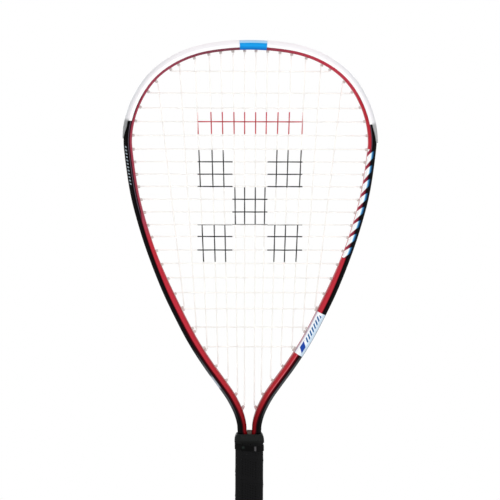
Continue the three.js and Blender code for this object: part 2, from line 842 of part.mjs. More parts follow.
// The cap: a flared foot with a flat end, and a thin skirt under the grip
function buttCap() {
  const top = gripBottomHeight - fitGap;
  const [edge, waist, neck] = capShoulderShares.map((share) => share * top);
  const gripOutside = fitGap + gripThickness;
  const outer = stack([
    octagon(0, capFoot),
    octagon(edge, capFlare),
    octagon(waist, capFlare),
    octagon(neck, gripOutside),
    octagon(top, gripOutside),
    octagon(top + fitGap, 0),
    octagon(capSkirtHeight, 0),
  ]);
  const inner = stack([octagon(capFloor, -capWall), octagon(capSkirtHeight + cutOverrun, -capWall)]);
  const end = new THREE.Vector3(0, 0, -cutOverrun);
  const hole = rod(end, end.clone().setZ(capFloor + cutOverrun), lanyardHoleRadius, lanyardHoleSides);
  const pockets = [1, -1].map((side) => {
    const width = stapleSpan + stapleWire + fitGap * 2;
    const place = new THREE.Vector3(0, side * palletHalfDepth, stapleHeight);
    return block(width, staplePocket * 2, stapleWire + fitGap * 2, place);
  });
  const solid = outer.subtract(inner).subtract(hole);
  return pockets.reduce((cap, pocket) => cap.subtract(pocket), solid);
}

// A staple's crown lies in a pocket of the skirt and its legs go into a pallet
function staple(side) {
  const outer = palletHalfDepth - staplePocket + fitGap + stapleCrown;
  const crown = block(
    stapleSpan + stapleWire,
    stapleCrown,
    stapleWire,
    new THREE.Vector3(0, side * (outer - stapleCrown / 2), stapleHeight),
  );
  const legs = [1, -1].map((end) => {
    const place = new THREE.Vector3(
      (end * stapleSpan) / 2,
      side * (outer - (stapleCrown + stapleLeg) / 2),
      stapleHeight,
    );
    return block(stapleWire, stapleCrown + stapleLeg, stapleWire, place);
  });
  return joined([crown, ...legs]);
}

// Where the staples go through the cap and the pallets, with a gap all round
function stapleHoles(side) {
  const wide = stapleWire + fitGap * 2;
  const deepest = palletHalfDepth - staplePocket - stapleLeg;
  const depth = palletHalfDepth + cutOverrun - deepest;
  return joined(
    [1, -1].map((end) => {
      const back = side * (deepest + depth / 2);
      const place = new THREE.Vector3((end * stapleSpan) / 2, back, stapleHeight);
      return block(wide, depth, wide, place);
    }),
  );
}

// Materials, and the racket put together
const racket = new THREE.Group();

function add(name, solid, color, roughness, metalness = 0) {
  const made = solid.getMesh();
  const geometry = new THREE.BufferGeometry();
  geometry.setAttribute("position", new THREE.BufferAttribute(made.vertProperties, 3));
  geometry.setIndex(new THREE.BufferAttribute(made.triVerts, 1));
  const faceted = geometry.toNonIndexed();
  faceted.computeVertexNormals();
  const material = new THREE.MeshStandardMaterial({ color, roughness, metalness });
  const mesh = new THREE.Mesh(faceted, material);
  mesh.name = name;
  racket.add(mesh);
}

add("frame", frame(), 0xb02734, 0.3);
add("bumper_guard", guard(), 0xefeef0, 0.45);
add("top_band", band(), 0x1a86e0, 0.4);

const sideHoles = [...crossHoles.slice(guardCrosses), ...bottomHoles.slice(2)];
for (const [name, side] of [
  ["right", 1],
  ["left", -1],
]) {
  const toSide = (hole) => ({ ...hole, run: side * hole.run });
  const ends = [guardEndRun + fitGap, secondBaseStart - fitGap].map((run) => run * side);
  const low = Math.min(...ends);
  const high = Math.max(...ends);
  add("grommet_strip_" + name, strip(low, high, sideHoles.map(toSide)), 0xd9d7d6, 0.5);
  bottomHoles.slice(0, 2).forEach((hole, i) => {
    const middle = exitRun(hole) * side;
    const [from, to] = [middle - throatBaseLength / 2, middle + throatBaseLength / 2];
    const place = i ? "outer" : "inner";
    add(`throat_grommet_${name}_${place}`, strip(from, to, [toSide(hole)]), 0x4a4548, 0.5);
  });
}

add("main_string", mainString(), 0xf2efe8, 0.35);
add("cross_string", crossString(), 0xf2efe8, 0.35);
add("throat_insert", throatInsert(), 0x3a3335, 0.7);
for (const [name, side] of [
  ["front", -1],
  ["back", 1],
]) {
  add(`handle_pallet_${name}`, palletHalf(side).subtract(stapleHoles(side)), 0x8a8d90, 0.6);
  add(`butt_staple_${name}`, staple(side), 0xb8bcc0, 0.35, 1);
}
add("collar", collar(), 0x1c1c1d, 0.75);
add("finishing_tape", finishingTape(), 0x151516, 0.6);
add("grip_tape", grip(), 0x1a1a1b, 0.8);
const cap = [1, -1].reduce((solid, side) => solid.subtract(stapleHoles(side)), buttCap());
add("butt_cap", cap, 0x202022, 0.6);

export default racket;
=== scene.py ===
"""Looks of a racquetball racket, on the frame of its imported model.

Sizes are in millimetres, as in the model, and each mesh is written in metres. X runs across the
head, Y from the front to the back, and Z from the butt to the top. A run is a distance along the
middle line of the tube from the top of the head, negative on the left.
"""

from math import cos, pi, radians, sin

import bpy
import numpy as np
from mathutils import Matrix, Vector


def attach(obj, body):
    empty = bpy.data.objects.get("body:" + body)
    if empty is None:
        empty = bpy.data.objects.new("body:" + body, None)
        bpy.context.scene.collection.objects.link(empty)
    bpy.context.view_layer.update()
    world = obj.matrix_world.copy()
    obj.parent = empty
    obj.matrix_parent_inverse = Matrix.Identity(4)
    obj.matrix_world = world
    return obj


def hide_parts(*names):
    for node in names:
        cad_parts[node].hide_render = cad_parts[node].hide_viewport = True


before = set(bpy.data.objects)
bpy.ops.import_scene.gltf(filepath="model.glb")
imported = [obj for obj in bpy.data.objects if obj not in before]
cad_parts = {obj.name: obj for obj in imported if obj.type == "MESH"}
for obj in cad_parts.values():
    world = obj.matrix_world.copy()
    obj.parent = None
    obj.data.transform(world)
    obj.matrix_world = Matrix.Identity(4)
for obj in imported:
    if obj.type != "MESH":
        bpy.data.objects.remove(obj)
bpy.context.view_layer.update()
scene = bpy.context.scene

MM = 0.001
GAP = 0.3  # between pieces that touch on the real racket
SNUG = 0.05  # the same beside the wedge in the throat

# Head and legs
HOOP_HALF_WIDTH = 120.2
PALLET_TOP = 163.8
COLLAR_TOP = 173.2
THROAT = 174.0
HEAD_TOP = 553.3  # 1 mm above the model's, because the clip lies in a recess of the guard here
HEAD_HEIGHT = HEAD_TOP - THROAT
LEG_SPREAD = 7.2
LEG_SPREAD_IN_HANDLE = 4.8
LEG_END = 12.0
HOOP_SHARES = [
    (0, 1), (0.22, 0.996), (0.42, 0.985), (0.587, 0.965), (0.735, 0.935), (0.841, 0.9),
    (0.932, 0.85), (0.983, 0.8), (1, 0.755), (0.992, 0.72), (0.946, 0.62), (0.891, 0.55),
    (0.811, 0.47), (0.697, 0.38), (0.577, 0.3), (0.46, 0.23), (0.338, 0.17), (0.235, 0.125),
    (0.162, 0.092), (0.118, 0.067), (0.092, 0.049), (0.071, 0.028), (0.0615, 0.012),
]
LEG_BEND_SHARES = (0.35, 0.8, 1)
TUBE_HEIGHTS = (PALLET_TOP, THROAT, THROAT + 0.33 * HEAD_HEIGHT, THROAT + 0.48 * HEAD_HEIGHT)
TUBE_SIZES = np.array([(8.4, 14), (9.1, 21), (9.6, 20.5), (8.2, 19)])  # width and depth there
OUTER_BEVEL = np.array((3.2, 4))
INNER_BEVEL = np.array((2, 2.6))
GROOVE_HALF_WIDTH = 3.5
GROOVE_DEPTH = 3.2
GROOVE_FADE = 3  # the groove comes up to the tube's outer side within this

# Strings and grommets
STRING_RADIUS = 0.62
MAIN_LAYER = 0.78
RUN_LAYER = 1.45
RUN_SIDE_STEP = 2.4
WEAVE = 0.64
MAIN_TOP_SHARES = np.array([0.046, 0.141, 0.24, 0.335, 0.451, 0.576, 0.753])
MAIN_BOTTOM_SHARES = np.array([0.04, 0.097, 0.173, 0.258, 0.347, 0.436, 0.536])
CROSS_SHARES = np.array([
    0.933, 0.877, 0.838, 0.803, 0.767, 0.732, 0.699, 0.667, 0.635, 0.602, 0.569, 0.536, 0.505,
    0.47, 0.435, 0.398, 0.359, 0.317, 0.269, 0.218,
])
BARREL_RADIUS = 1.5
BARREL_TIP = [  # distance back from the tip, and radius
    (4.8, 1.5), (2.4, 1.5), (0.5, 1.375), (0.15, 1.25), (0, 1.1), (0, 1.05), (1.5, 1),
]
BORE_RADIUS = 1.0
NUB_LENGTH = 2.4
NUB_TO_BEND = 0.95
CHANNEL_HALF_WIDTH = 2.4
STRIP_FLOOR = 0.8
THROAT_BASE = 6.5
TILTS = np.radians([42, 20, 0, 0, 0, 0, 0])
KNOT_TURNS = ((0.55, 0.72), (1.25, 0.55))  # height over the channel's floor, and radius
KNOT_STRING = 0.55

# Guard and its clip. A pair is for the left and the right.
GUARD_THICKNESS = 1.3
GUARD_COVERS = np.array([5.7, 5.35])  # how far in its wings reach over the tube's faces
GUARD_CROSSES = 5
WING_END = 0.5  # past a wing, the cover stays full over one of these and falls over the next
TAIL_COVERS = np.array([0.68, 0.88])  # share of the bevel
TAIL_THINNING = np.array([0.5, 0.35])
THINNING_START = 60  # on the right
TIP_NARROWING = 0.6
RECESS_THINNING = 0.65
BAND_WIDTH = 26.6
BAND_OFFSET = 2.8
BAND_THICKNESS = 0.5
BAND_LEVEL = 0.9  # how far the clip lies over the tube
RECESS_HALF_WIDTH = BAND_WIDTH / 2 + 0.15

# Handle
PALLET = np.array([12, 10.6, 5.4])  # half width, half depth and bevel
OUTSET = np.array([1, 1, 2 - 2**0.5])  # what an outset of 1 adds to them
GRIP_BOTTOM = 21.0
GRIP_THICKNESS = 1.45
GRIP_PITCH = 24
GRIP_GIRTH = 76  # as the rows of small holes take it
TAPE_TOP = 160.8
TAPE_WIDTH = 7.0
TAPE_SLANT = 0.9
COLLAR_BOTTOM = 161.8
COLLAR_DROP = 2.2  # of its rim, below the height at which it takes the legs' outline
WEDGE_BOTTOM = 164.1
WEDGE_TOP = 172.6
WEDGE_HALF_DEPTH = 7.5
CAP_SKIRT = 38.0  # how far up it goes inside the grip
CAP_FLOOR = 3.0
CAP_FLARE = [  # share of the way up to the grip, and outset from the pallets
    (0.86, 1.8), (0.68, 2.35), (0.5, 3.6), (0.36, 4.3), (0.22, 4.4), (0.1, 4.35),
    (0.04, 4.05), (0.012, 3.6), (0.0, 3.2),
]


def smoothstep(value, low, high):
    """0 below low, 1 above high, and 3s^2 - 2s^3 of the share s between them."""
    share = np.clip((value - low) / (high - low), 0, 1)
    return share * share * (3 - 2 * share)


def unit(way):
    """Each vector divided by its length."""
    return way / np.maximum(np.linalg.norm(way, axis=-1, keepdims=True), 1e-9)


def spline(points, steps):
    """A smooth curve through points: each stretch is the cubic between its two ends whose
    slopes come from their neighbours, weighed by the square roots of the distances."""
    ends = np.vstack([2 * points[0] - points[1], points, 2 * points[-1] - points[-2]])
    gaps = np.sqrt(np.linalg.norm(np.diff(ends, axis=0), axis=1))[:, None]
    a, b, c = gaps[:-2], gaps[1:-1], gaps[2:]
    p0, p1, p2, p3 = ends[:-3], ends[1:-2], ends[2:-1], ends[3:]
    slope1 = ((p1 - p0) / a - (p2 - p0) / (a + b) + (p2 - p1) / b) * b
    slope2 = ((p2 - p1) / b - (p3 - p1) / (b + c) + (p3 - p2) / c) * b
    t = np.linspace(0, 1, steps, endpoint=False)[:, None, None]
    curve = p1 + slope1 * t + (3 * (p2 - p1) - 2 * slope1 - slope2) * t**2
    curve = curve + (2 * (p1 - p2) + slope1 + slope2) * t**3
    return np.vstack([curve.transpose(1, 0, 2).reshape(-1, points.shape[1]), points[-1]])


def bent(start, corner, end, steps):
    """Points of quadratic curves: start (1 - t)^2 + 2 corner t (1 - t) + end t^2."""
    t = np.linspace(0, 1, steps)[:, None]
    return start * (1 - t) ** 2 + 2 * corner * t * (1 - t) + end * t**2


def spokes(axis, count):
    """Directions evenly round an axis: side cos(a) + up sin(a), with side square to Y."""
    side = unit(np.cross(axis, (0, 1, 0)))
    up = np.cross(side, axis)
    angle = np.linspace(0, 2 * pi, count, endpoint=False)[:, None]
    return np.cos(angle) * side[..., None, :] + np.sin(angle) * up[..., None, :]


def hoop_route():
    """The points of the tube's middle line in X and Z, from the left leg to the right one."""
    legs = np.array(LEG_BEND_SHARES)
    spread = LEG_SPREAD + (LEG_SPREAD_IN_HANDLE - LEG_SPREAD) * smoothstep(legs, 0, 1)
    right = np.vstack([
        np.array(HOOP_SHARES) * (HOOP_HALF_WIDTH, HEAD_HEIGHT) + (0, THROAT),
        (LEG_SPREAD, THROAT),
        np.stack([spread, THROAT - legs * (THROAT - PALLET_TOP)], 1),
        (LEG_SPREAD_IN_HANDLE, (PALLET_TOP + LEG_END) / 2),
        (LEG_SPREAD_IN_HANDLE, LEG_END),
    ])
    return np.vstack([right[:0:-1] * (-1, 1), right])


HOOP = spline(hoop_route(), 150)
ALONG = unit(np.gradient(HOOP, axis=0))
HOOP_TABLE = np.column_stack([HOOP, -ALONG[:, 1], ALONG[:, 0]])
LENGTHS = np.concatenate([[0], np.cumsum(np.linalg.norm(np.diff(HOOP, axis=0), axis=1))])
HALF_RUN = LENGTHS[-1] / 2
RUNS = LENGTHS - HALF_RUN


def tube_half(height):
    """Half the tube's width and depth at a height: smooth steps between the listed sizes."""
    steps = [smoothstep(height, *ends) for ends in zip(TUBE_HEIGHTS, TUBE_HEIGHTS[1:])]
    sizes = TUBE_SIZES[0] + np.stack(steps, -1) @ np.diff(TUBE_SIZES, axis=0)
    return sizes[..., 0] / 2, sizes[..., 1] / 2


def half_at(run):
    """Half the tube's width and depth at runs."""
    return tube_half(np.interp(run, RUNS, HOOP[:, 1]))


def on_hoop(run, out, back, on=0.0):
    """Points at a run: so far out of the tube's middle line along its normal, so far back, and
    so far on along its tangent."""
    x, z, out_x, out_z = (np.interp(run, RUNS, column) for column in HOOP_TABLE.T)
    place = (x + out_x * out + out_z * on, back, z + out_z * out - out_x * on)
    return np.stack(np.broadcast_arrays(*place), -1)


def run_at_height(height):
    """The run on the right side at which the tube's middle comes down to a height."""
    down = (RUNS > 0) & (HOOP[:, 1] < THROAT + 0.99 * HEAD_HEIGHT)
    return np.interp(-height, -HOOP[down, 1], RUNS[down])


# Levels, out of the middle line, from half the tube's width


def nub_level(half):
    return -half - NUB_LENGTH


def bend_level(half):
    return nub_level(half) - NUB_TO_BEND


def strip_level(half):
    return half - GROOVE_DEPTH + GAP


def run_level(half):
    return strip_level(half) + STRIP_FLOOR + GAP + STRING_RADIUS


def in_hole(run, level, layer, tilt=0.0):
    """A point on a hole's middle line: as far out as level says, and slid down the tube by that
    distance times the tangent of the hole's tilt."""
    out = level(half_at(run)[0])
    return on_hoop(run, out, layer, out * np.tan(tilt) * np.sign(run))


def find_holes(axis, wanted, low, high, layer, tilt=0.0):
    """The runs from low to high at which a string's bend comes to the wanted X or Z."""
    runs = np.linspace(low, high, 3000)
    place = in_hole(runs, bend_level, layer, tilt)[:, axis]
    order = np.argsort(place)
    return np.interp(wanted, place[order], runs[order])


def exit_run(run, tilt=0.0):
    """Where a tilted hole comes out on the outer side, as a run."""
    return run + np.sign(run) * run_level(half_at(run)[0]) * np.tan(tilt)


def cross_run(number):
    """The run at a cross, counted from one, or between two of them."""
    return np.interp(number, np.arange(1, len(CROSS_HOLES) + 1), CROSS_HOLES)


WIDEST = RUNS[np.argmax(HOOP[:, 0])]
THROAT_RUN = run_at_height(THROAT)
TOP_HOLES = find_holes(0, MAIN_TOP_SHARES * HOOP_HALF_WIDTH, 0, WIDEST, MAIN_LAYER)
BOTTOM_HOLES = np.array([
    find_holes(0, share * HOOP_HALF_WIDTH, WIDEST, THROAT_RUN, MAIN_LAYER, tilt)
    for share, tilt in zip(MAIN_BOTTOM_SHARES, TILTS)
])
CROSS_HOLES = find_holes(2, THROAT + CROSS_SHARES * HEAD_HEIGHT, 1, THROAT_RUN, -MAIN_LAYER)
GROOVE_END = exit_run(BOTTOM_HOLES[0], TILTS[0]) + 6
STRIP_END = exit_run(BOTTOM_HOLES[1], TILTS[1]) - THROAT_BASE / 2 - GAP
WING_ENDS = cross_run(np.array([4.035, 4.265]))
TAPER_RUN = cross_run(4.5)
GUARD_ENDS = cross_run(GUARD_CROSSES + np.array([0.25, 0.5]))

# Meshes


def soft_corners(corners, reach, steps=5):
    """Rings with soft corners: each corner becomes the quadratic curve that starts at its reach
    before it and ends at its reach after it."""
    sides = np.roll(corners, -1, -2) - corners
    lengths = np.linalg.norm(sides, axis=-1, keepdims=True)
    reach = np.broadcast_to(reach, corners.shape[:-1])[..., None]
    before = np.minimum(reach, 0.48 * np.roll(lengths, 1, -2))
    after = np.minimum(reach, 0.48 * lengths)
    ways = unit(sides)
    start = (corners - np.roll(ways, 1, -2) * before)[..., None, :]
    end = (corners + ways * after)[..., None, :]
    curve = bent(start, corners[..., None, :], end, steps)
    return curve.reshape(*corners.shape[:-2], -1, corners.shape[-1])


class Surface:
    """A closed surface from a grid of rings. Its first and last ring get a flat face, unless the
    rings themselves close into a loop. Marks say where a point lies on its piece. The sign of
    the volume tells whether the faces have to be turned round."""

    def __init__(self, grid, marks=None, finish=0, loop=False):
        rows, columns = grid.shape[:2]
        self.points = grid.reshape(-1, 3)
        self.marks = np.zeros_like(self.points) if marks is None else marks.reshape(-1, 3)
        self.finish = finish
        start = np.arange(rows if loop else rows - 1)[:, None] * columns
        after = (start + columns) % (rows * columns)
        side = np.arange(columns)
        beside = (side + 1) % columns
        quads = np.stack([start + side, start + beside, after + beside, after + side], -1)
        quads = quads.reshape(-1, 4)
        a, b, c, d = (self.points[quads[:, corner]] for corner in range(4))
        volume = np.sum(a * (np.cross(b, c) + np.cross(c, d)))
        ends = []
        if not loop:
            first, last = grid[0], grid[-1]
            volume -= np.sum(first[0] * np.cross(first[1:-1], first[2:]))
            volume += np.sum(last[0] * np.cross(last[1:-1], last[2:]))
            ends = [side[::-1], side + (rows - 1) * columns]
        turn = -1 if volume < 0 else 1
        self.faces = [face[::turn].tolist() for face in (*quads, *ends)]


def make(name, surfaces, finishes, node, sharp=38):
    """One piece from closed surfaces, which stands for a node of the model. Edges sharper than
    so many degrees stay sharp."""
    mesh = bpy.data.meshes.new(name)
    faces, indices, start = [], [], 0
    for surface in surfaces:
        faces += [[corner + start for corner in face] for face in surface.faces]
        indices += [surface.finish] * len(surface.faces)
        start += len(surface.points)
    points = np.concatenate([surface.points for surface in surfaces]) * MM
    mesh.from_pydata(points.tolist(), [], faces)
    marks = mesh.attributes.new("marks", "FLOAT_VECTOR", "POINT")
    marks.data.foreach_set("vector", np.concatenate([s.marks for s in surfaces]).ravel())
    for finish in finishes:
        mesh.materials.append(finish)
    mesh.polygons.foreach_set("material_index", indices)
    mesh.polygons.foreach_set("use_smooth", [True] * len(faces))
    mesh.set_sharp_from_angle(angle=radians(sharp))
    mesh.update()
    piece = bpy.data.objects.new(name, mesh)
    scene.collection.objects.link(piece)
    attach(piece, "root")
    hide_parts(node)


def along_hoop(runs, section, reach, shrink=0.0):
    """A body along the tube. Its section gives corners, as distances out and back, for half the
    tube's width and depth: those of the front half, which the back half mirrors. Marks hold the
    run, the distance in from the tube's outer side, and the distance back. Shrink draws the
    rings in towards their middle."""
    runs = np.asarray(runs, dtype=float)[:, None]
    half, deep = half_at(runs)
    front = section(half, deep, runs)
    whole = [*front, *((out, -back) for out, back in reversed(front))]
    corners = np.stack([np.stack(np.broadcast_arrays(*c), -1) for c in whole], 1)[:, :, 0]
    ring = soft_corners(corners, np.array([*reach, *reversed(reach)]))
    middle = ring.mean(axis=1, keepdims=True)
    ring = ring + unit(middle - ring) * np.reshape(shrink, (-1, 1, 1))
    out, back = ring[..., 0], ring[..., 1]
    marks = np.stack([np.broadcast_to(runs, out.shape), half - out, back], -1)
    return Surface(on_hoop(runs, out, back), marks)


def frame_section(half, deep, runs):
    """The tube with its groove, which fades past the last grommet to 1.5% of its depth."""
    faded = smoothstep(np.abs(runs), GROOVE_END - GROOVE_FADE, GROOVE_END)
    groove = GROOVE_DEPTH * (1 - 0.985 * faded)
    return [
        (-half, deep - INNER_BEVEL[1]),
        (-half + INNER_BEVEL[0], deep),
        (half - OUTER_BEVEL[0], deep),
        (half, deep - OUTER_BEVEL[1]),
        (half, GROOVE_HALF_WIDTH),
        (half - groove, GROOVE_HALF_WIDTH),
    ]


def strip_section(half, deep, runs):
    """A channel in the groove."""
    level = strip_level(half)
    side = GROOVE_HALF_WIDTH - GAP
    return [
        (level, side),
        (half - GAP, side),
        (half - GAP, CHANNEL_HALF_WIDTH),
        (level + STRIP_FLOOR, CHANNEL_HALF_WIDTH),
    ]


def guard_section(half, deep, runs):
    """The guard: wings over the face of the tube, which draw back to its bevel on the tails.
    A point of the tail lies at its cover, as a share of the way from foot to shoulder. The
    guard is thinner on its tails and in the recess under the clip."""
    right = (runs > 0).astype(int)
    away = np.abs(runs)
    wing_end, cover = WING_ENDS[right], TAIL_COVERS[right]
    at_wing = np.clip((wing_end - away) / WING_END + 2, 0, 1)
    at_tip = np.clip((away - TAPER_RUN) / (GUARD_ENDS[right] - TAPER_RUN), 0, 1)
    cover = cover + (1 - cover) * at_wing - TIP_NARROWING * at_tip
    at_tail = np.where(right, smoothstep(away, THINNING_START, wing_end), at_tip)
    in_recess = np.abs(runs - BAND_OFFSET) < RECESS_HALF_WIDTH
    thinner = TAIL_THINNING[right] * at_tail + RECESS_THINNING * in_recess
    thickness = GUARD_THICKNESS * (1 - thinner)
    inner_foot = np.array([half + GAP, deep - OUTER_BEVEL[1]])
    outer_foot = inner_foot + [thickness, thickness / 3]
    inner_shoulder = np.array([half - OUTER_BEVEL[0], deep + GAP])
    outer_shoulder = inner_shoulder + [thickness / 3, thickness]
    inner_end = inner_foot + (inner_shoulder - inner_foot) * cover
    outer_end = outer_foot + (outer_shoulder - outer_foot) * cover
    reach = half - GUARD_COVERS[right]
    wing = [inner_shoulder, (reach, deep + GAP), (reach, deep + GAP + thickness), outer_shoulder]
    tail = [inner_end + (outer_end - inner_end) * share for share in (0, 1 / 3, 2 / 3, 1)]
    return [
        (strip_level(half), GROOVE_HALF_WIDTH - GAP),
        (half + GAP, GROOVE_HALF_WIDTH - GAP),
        inner_foot,
        *(np.where(away > wing_end, t, w) for t, w in zip(tail, wing)),
        outer_foot,
        (half + GAP + thickness, CHANNEL_HALF_WIDTH),
        (strip_level(half) + STRIP_FLOOR, CHANNEL_HALF_WIDTH),
    ]


def band_section(half, deep, runs):
    """The clip over the guard and the bare part of the tube, with a lip into the step."""
    inner, outer = BAND_LEVEL, BAND_LEVEL + BAND_THICKNESS
    lip = half - GUARD_COVERS[0] - GAP
    foot, shoulder = deep - OUTER_BEVEL[1], half - OUTER_BEVEL[0]
    return [
        (half + inner, foot + BAND_THICKNESS / 2),
        (shoulder + BAND_THICKNESS / 2, deep + inner),
        (lip, deep + inner),
        (lip, deep + GAP),
        (-half, deep + GAP),
        (-half, deep + outer),
        (shoulder + BAND_THICKNESS, deep + outer),
        (half + outer, foot + BAND_THICKNESS),
    ]


def barrels(runs, layer, tilt=0.0, finish=0):
    """Hollow barrels: each is its profile of distance and radius, turned round the hole's middle
    line, with a soft, slightly narrowed tip inside the head."""
    surfaces = []
    for run in runs:
        foot = in_hole(run, lambda half: strip_level(half) + STRIP_FLOOR / 2, layer, tilt)
        tip = in_hole(run, nub_level, layer, tilt)
        length = np.linalg.norm(tip - foot)
        profile = np.array([(length, BARREL_RADIUS), *BARREL_TIP, (length, BORE_RADIUS)])
        axis = unit(tip - foot)
        grid = tip - profile[:, :1, None] * axis + profile[:, 1:, None] * spokes(axis, 14)
        surfaces.append(Surface(grid, finish=finish, loop=True))
    return surfaces


# Strings


def soft_bends(path, sharp, reach=1.1):
    """A path whose marked points become quadratic curves between its neighbours."""
    inner = path[1:-1, None]
    before, after = path[:-2, None] - inner, path[2:, None] - inner
    start, end = (
        inner + unit(way) * np.minimum(reach, 0.48 * np.linalg.norm(way, axis=-1, keepdims=True))
        for way in (before, after)
    )
    curve = bent(start, inner, end, 5)
    smooth = ~sharp[1:-1]
    keep = np.ones(curve.shape[:2], dtype=bool)
    keep[smooth, 1:] = False
    curve[smooth, 0] = path[1:-1][smooth]
    return np.vstack([path[:1], curve[keep], path[-1:]])


def woven(start, end, places, fronts, layer):
    """A stretch from one bend to the other: straight in the plane of the strings, while Y goes
    in half cosine waves from its layer to the front or the back of each string that it meets."""
    shares, heights = [0, *places, 1], [layer, *fronts, layer]
    steps = np.arange(len(shares))
    t = np.linspace(0, steps[-1], steps[-1] * 8 + 1)
    path = start + (end - start) * np.interp(t, steps, shares)[:, None]
    path[:, 1] = np.interp(t // 1 + (1 - np.cos(pi * (t % 1))) / 2, steps, heights)
    return path


# The ends of the mains, the right ends of the crosses, and for each main and cross the share of
# the way down the one and over the other at which they meet, if they do
TOPS, BOTTOMS = (
    np.vstack([ends[::-1] * (-1, 1, 1), ends])
    for ends in (in_hole(TOP_HOLES, bend_level, 0), in_hole(BOTTOM_HOLES, bend_level, 0, TILTS))
)
REACH = in_hole(CROSS_HOLES, bend_level, 0)
DOWN = (TOPS[:, None, 2] - REACH[:, 2]) / (TOPS[:, 2] - BOTTOMS[:, 2])[:, None]
OVER = TOPS[:, None, 0] + (BOTTOMS - TOPS)[:, None, 0] * DOWN
OVER = (OVER + REACH[:, 0]) / (2 * REACH[:, 0])
MEETS = (DOWN > 0.004) & (DOWN < 0.996) & (OVER > 0.012) & (OVER < 0.988)
FRONT = np.where(sum(np.indices(MEETS.shape)) % 2, WEAVE, -WEAVE)  # of a main at each cross


def groove_run(start, end, side):
    """A string in the outer groove from above one hole to above the next."""
    way = np.sign(end - start)
    runs = np.linspace(start + way * RUN_SIDE_STEP, end - way * RUN_SIDE_STEP, 12)
    return on_hoop(runs, run_level(half_at(runs)[0]), side * RUN_LAYER)


class Route:
    """A string's path, with the points at which it bends sharply."""

    def __init__(self):
        self.parts, self.sharp = [], []

    def add(self, points, sharp=False):
        points = np.atleast_2d(points)
        self.parts.append(points)
        self.sharp.append(np.full(len(points), sharp))

    def through(self, hole, layer, *levels):
        """Along a hole, which is its run and its tilt, from one level to the next."""
        for level in levels:
            self.add(in_hole(hole[0], level, layer, hole[1]), True)

    def across(self, start, end, stretch, layer):
        """In through one hole, over the head, and out through the other."""
        self.through(start, layer, run_level, bend_level)
        self.add(stretch[1:-1])
        self.through(end, layer, bend_level, run_level)

    def surface(self):
        """A round string, along a path that never runs straight back: a ring is its point plus
        the radius times the spokes of the direction there."""
        path = soft_bends(np.vstack(self.parts), np.concatenate(self.sharp))
        steps = unit(np.diff(path, axis=0))
        way = unit(np.vstack([steps[:1], steps]) + np.vstack([steps, steps[-1:]]))
        return Surface(path[:, None] + STRING_RADIUS * spokes(way, 9))


def main_route():
    """All mains in one string, from the left: down and up in turn, with the middle two joined
    over the top."""
    route = Route()
    count = len(TOP_HOLES)
    for main in range(2 * count):
        side = 1 if main >= count else -1
        step = main - count if side > 0 else count - 1 - main
        if main == count:
            route.add(groove_run(-TOP_HOLES[0], TOP_HOLES[0], 1))
        downwards = (step % 2 == 0) == (side > 0)
        meets = MEETS[main]
        places, fronts = DOWN[main][meets], FRONT[main][meets]
        holes = [(side * TOP_HOLES[step], 0.0), (side * BOTTOM_HOLES[step], TILTS[step])]
        bends = [TOPS[main], BOTTOMS[main]]
        if not downwards:
            places, fronts = 1 - places[::-1], fronts[::-1]
            holes.reverse()
            bends.reverse()
        route.across(*holes, woven(*bends, places, fronts, MAIN_LAYER), MAIN_LAYER)
        if 0 <= step + side < count:
            runs, tilts = (BOTTOM_HOLES, TILTS) if downwards else (TOP_HOLES, np.zeros(count))
            here, there = (side * exit_run(runs[i], tilts[i]) for i in (step, step + side))
            route.add(groove_run(here, there, 1))
    return route


def cross_route():
    """All crosses in one string, from the top left, from side to side."""
    route = Route()
    for cross, run in enumerate(CROSS_HOLES):
        side = -1 if cross % 2 == 0 else 1
        meets = MEETS[:, cross]
        places, fronts = OVER[meets, cross], -FRONT[meets, cross]
        if side > 0:
            places, fronts = 1 - places[::-1], fronts[::-1]
        start = REACH[cross] * (side, 1, 1)
        stretch = woven(start, start * (-1, 1, 1), places, fronts, -MAIN_LAYER)
        route.across((side * run, 0.0), (-side * run, 0.0), stretch, -MAIN_LAYER)
        if cross + 1 < len(CROSS_HOLES):
            route.add(groove_run(-side * run, -side * CROSS_HOLES[cross + 1], -1))
    return route


def knots(runs, layer):
    """Stopper knots over holes: each is two turns of string, which are rings round the hole."""
    surfaces = []
    angle = np.linspace(0, 2 * pi, 8, endpoint=False)[:, None]
    for run in runs:
        axis = unit(in_hole(run, run_level, layer) - in_hole(run, bend_level, layer))
        spoke = spokes(axis, 20)[:, None]
        for rise, radius in KNOT_TURNS:
            middle = in_hole(run, lambda half: strip_level(half) + STRIP_FLOOR + GAP + rise, layer)
            grid = middle + spoke * (radius + KNOT_STRING * np.cos(angle))
            surfaces.append(Surface(grid + axis * KNOT_STRING * np.sin(angle), loop=True))
    return surfaces


# Handle


def handle_ring(size, soft):
    """An octagon with soft corners, from half its width, half its depth and its bevel."""
    x, y, bevel = size
    corners = np.array([
        (x, y - bevel), (x - bevel, y), (bevel - x, y), (-x, y - bevel),
        (-x, bevel - y), (bevel - x, -y), (x - bevel, -y), (x, bevel - y),
    ])
    return soft_corners(corners, soft, 7)


def pallet_ring(outset, soft=1.2):
    """The handle's octagon, grown by an outset."""
    return handle_ring(PALLET + OUTSET * outset, soft)


def stacked(rings, levels, marks=None, loop=True):
    """A body from rings in X and Y, with a level for each ring or for each of its points."""
    rings = np.asarray(rings)
    levels = np.broadcast_to(np.reshape(levels, (len(rings), -1)), rings.shape[:2])
    return Surface(np.dstack([rings, levels]), marks, loop=loop)


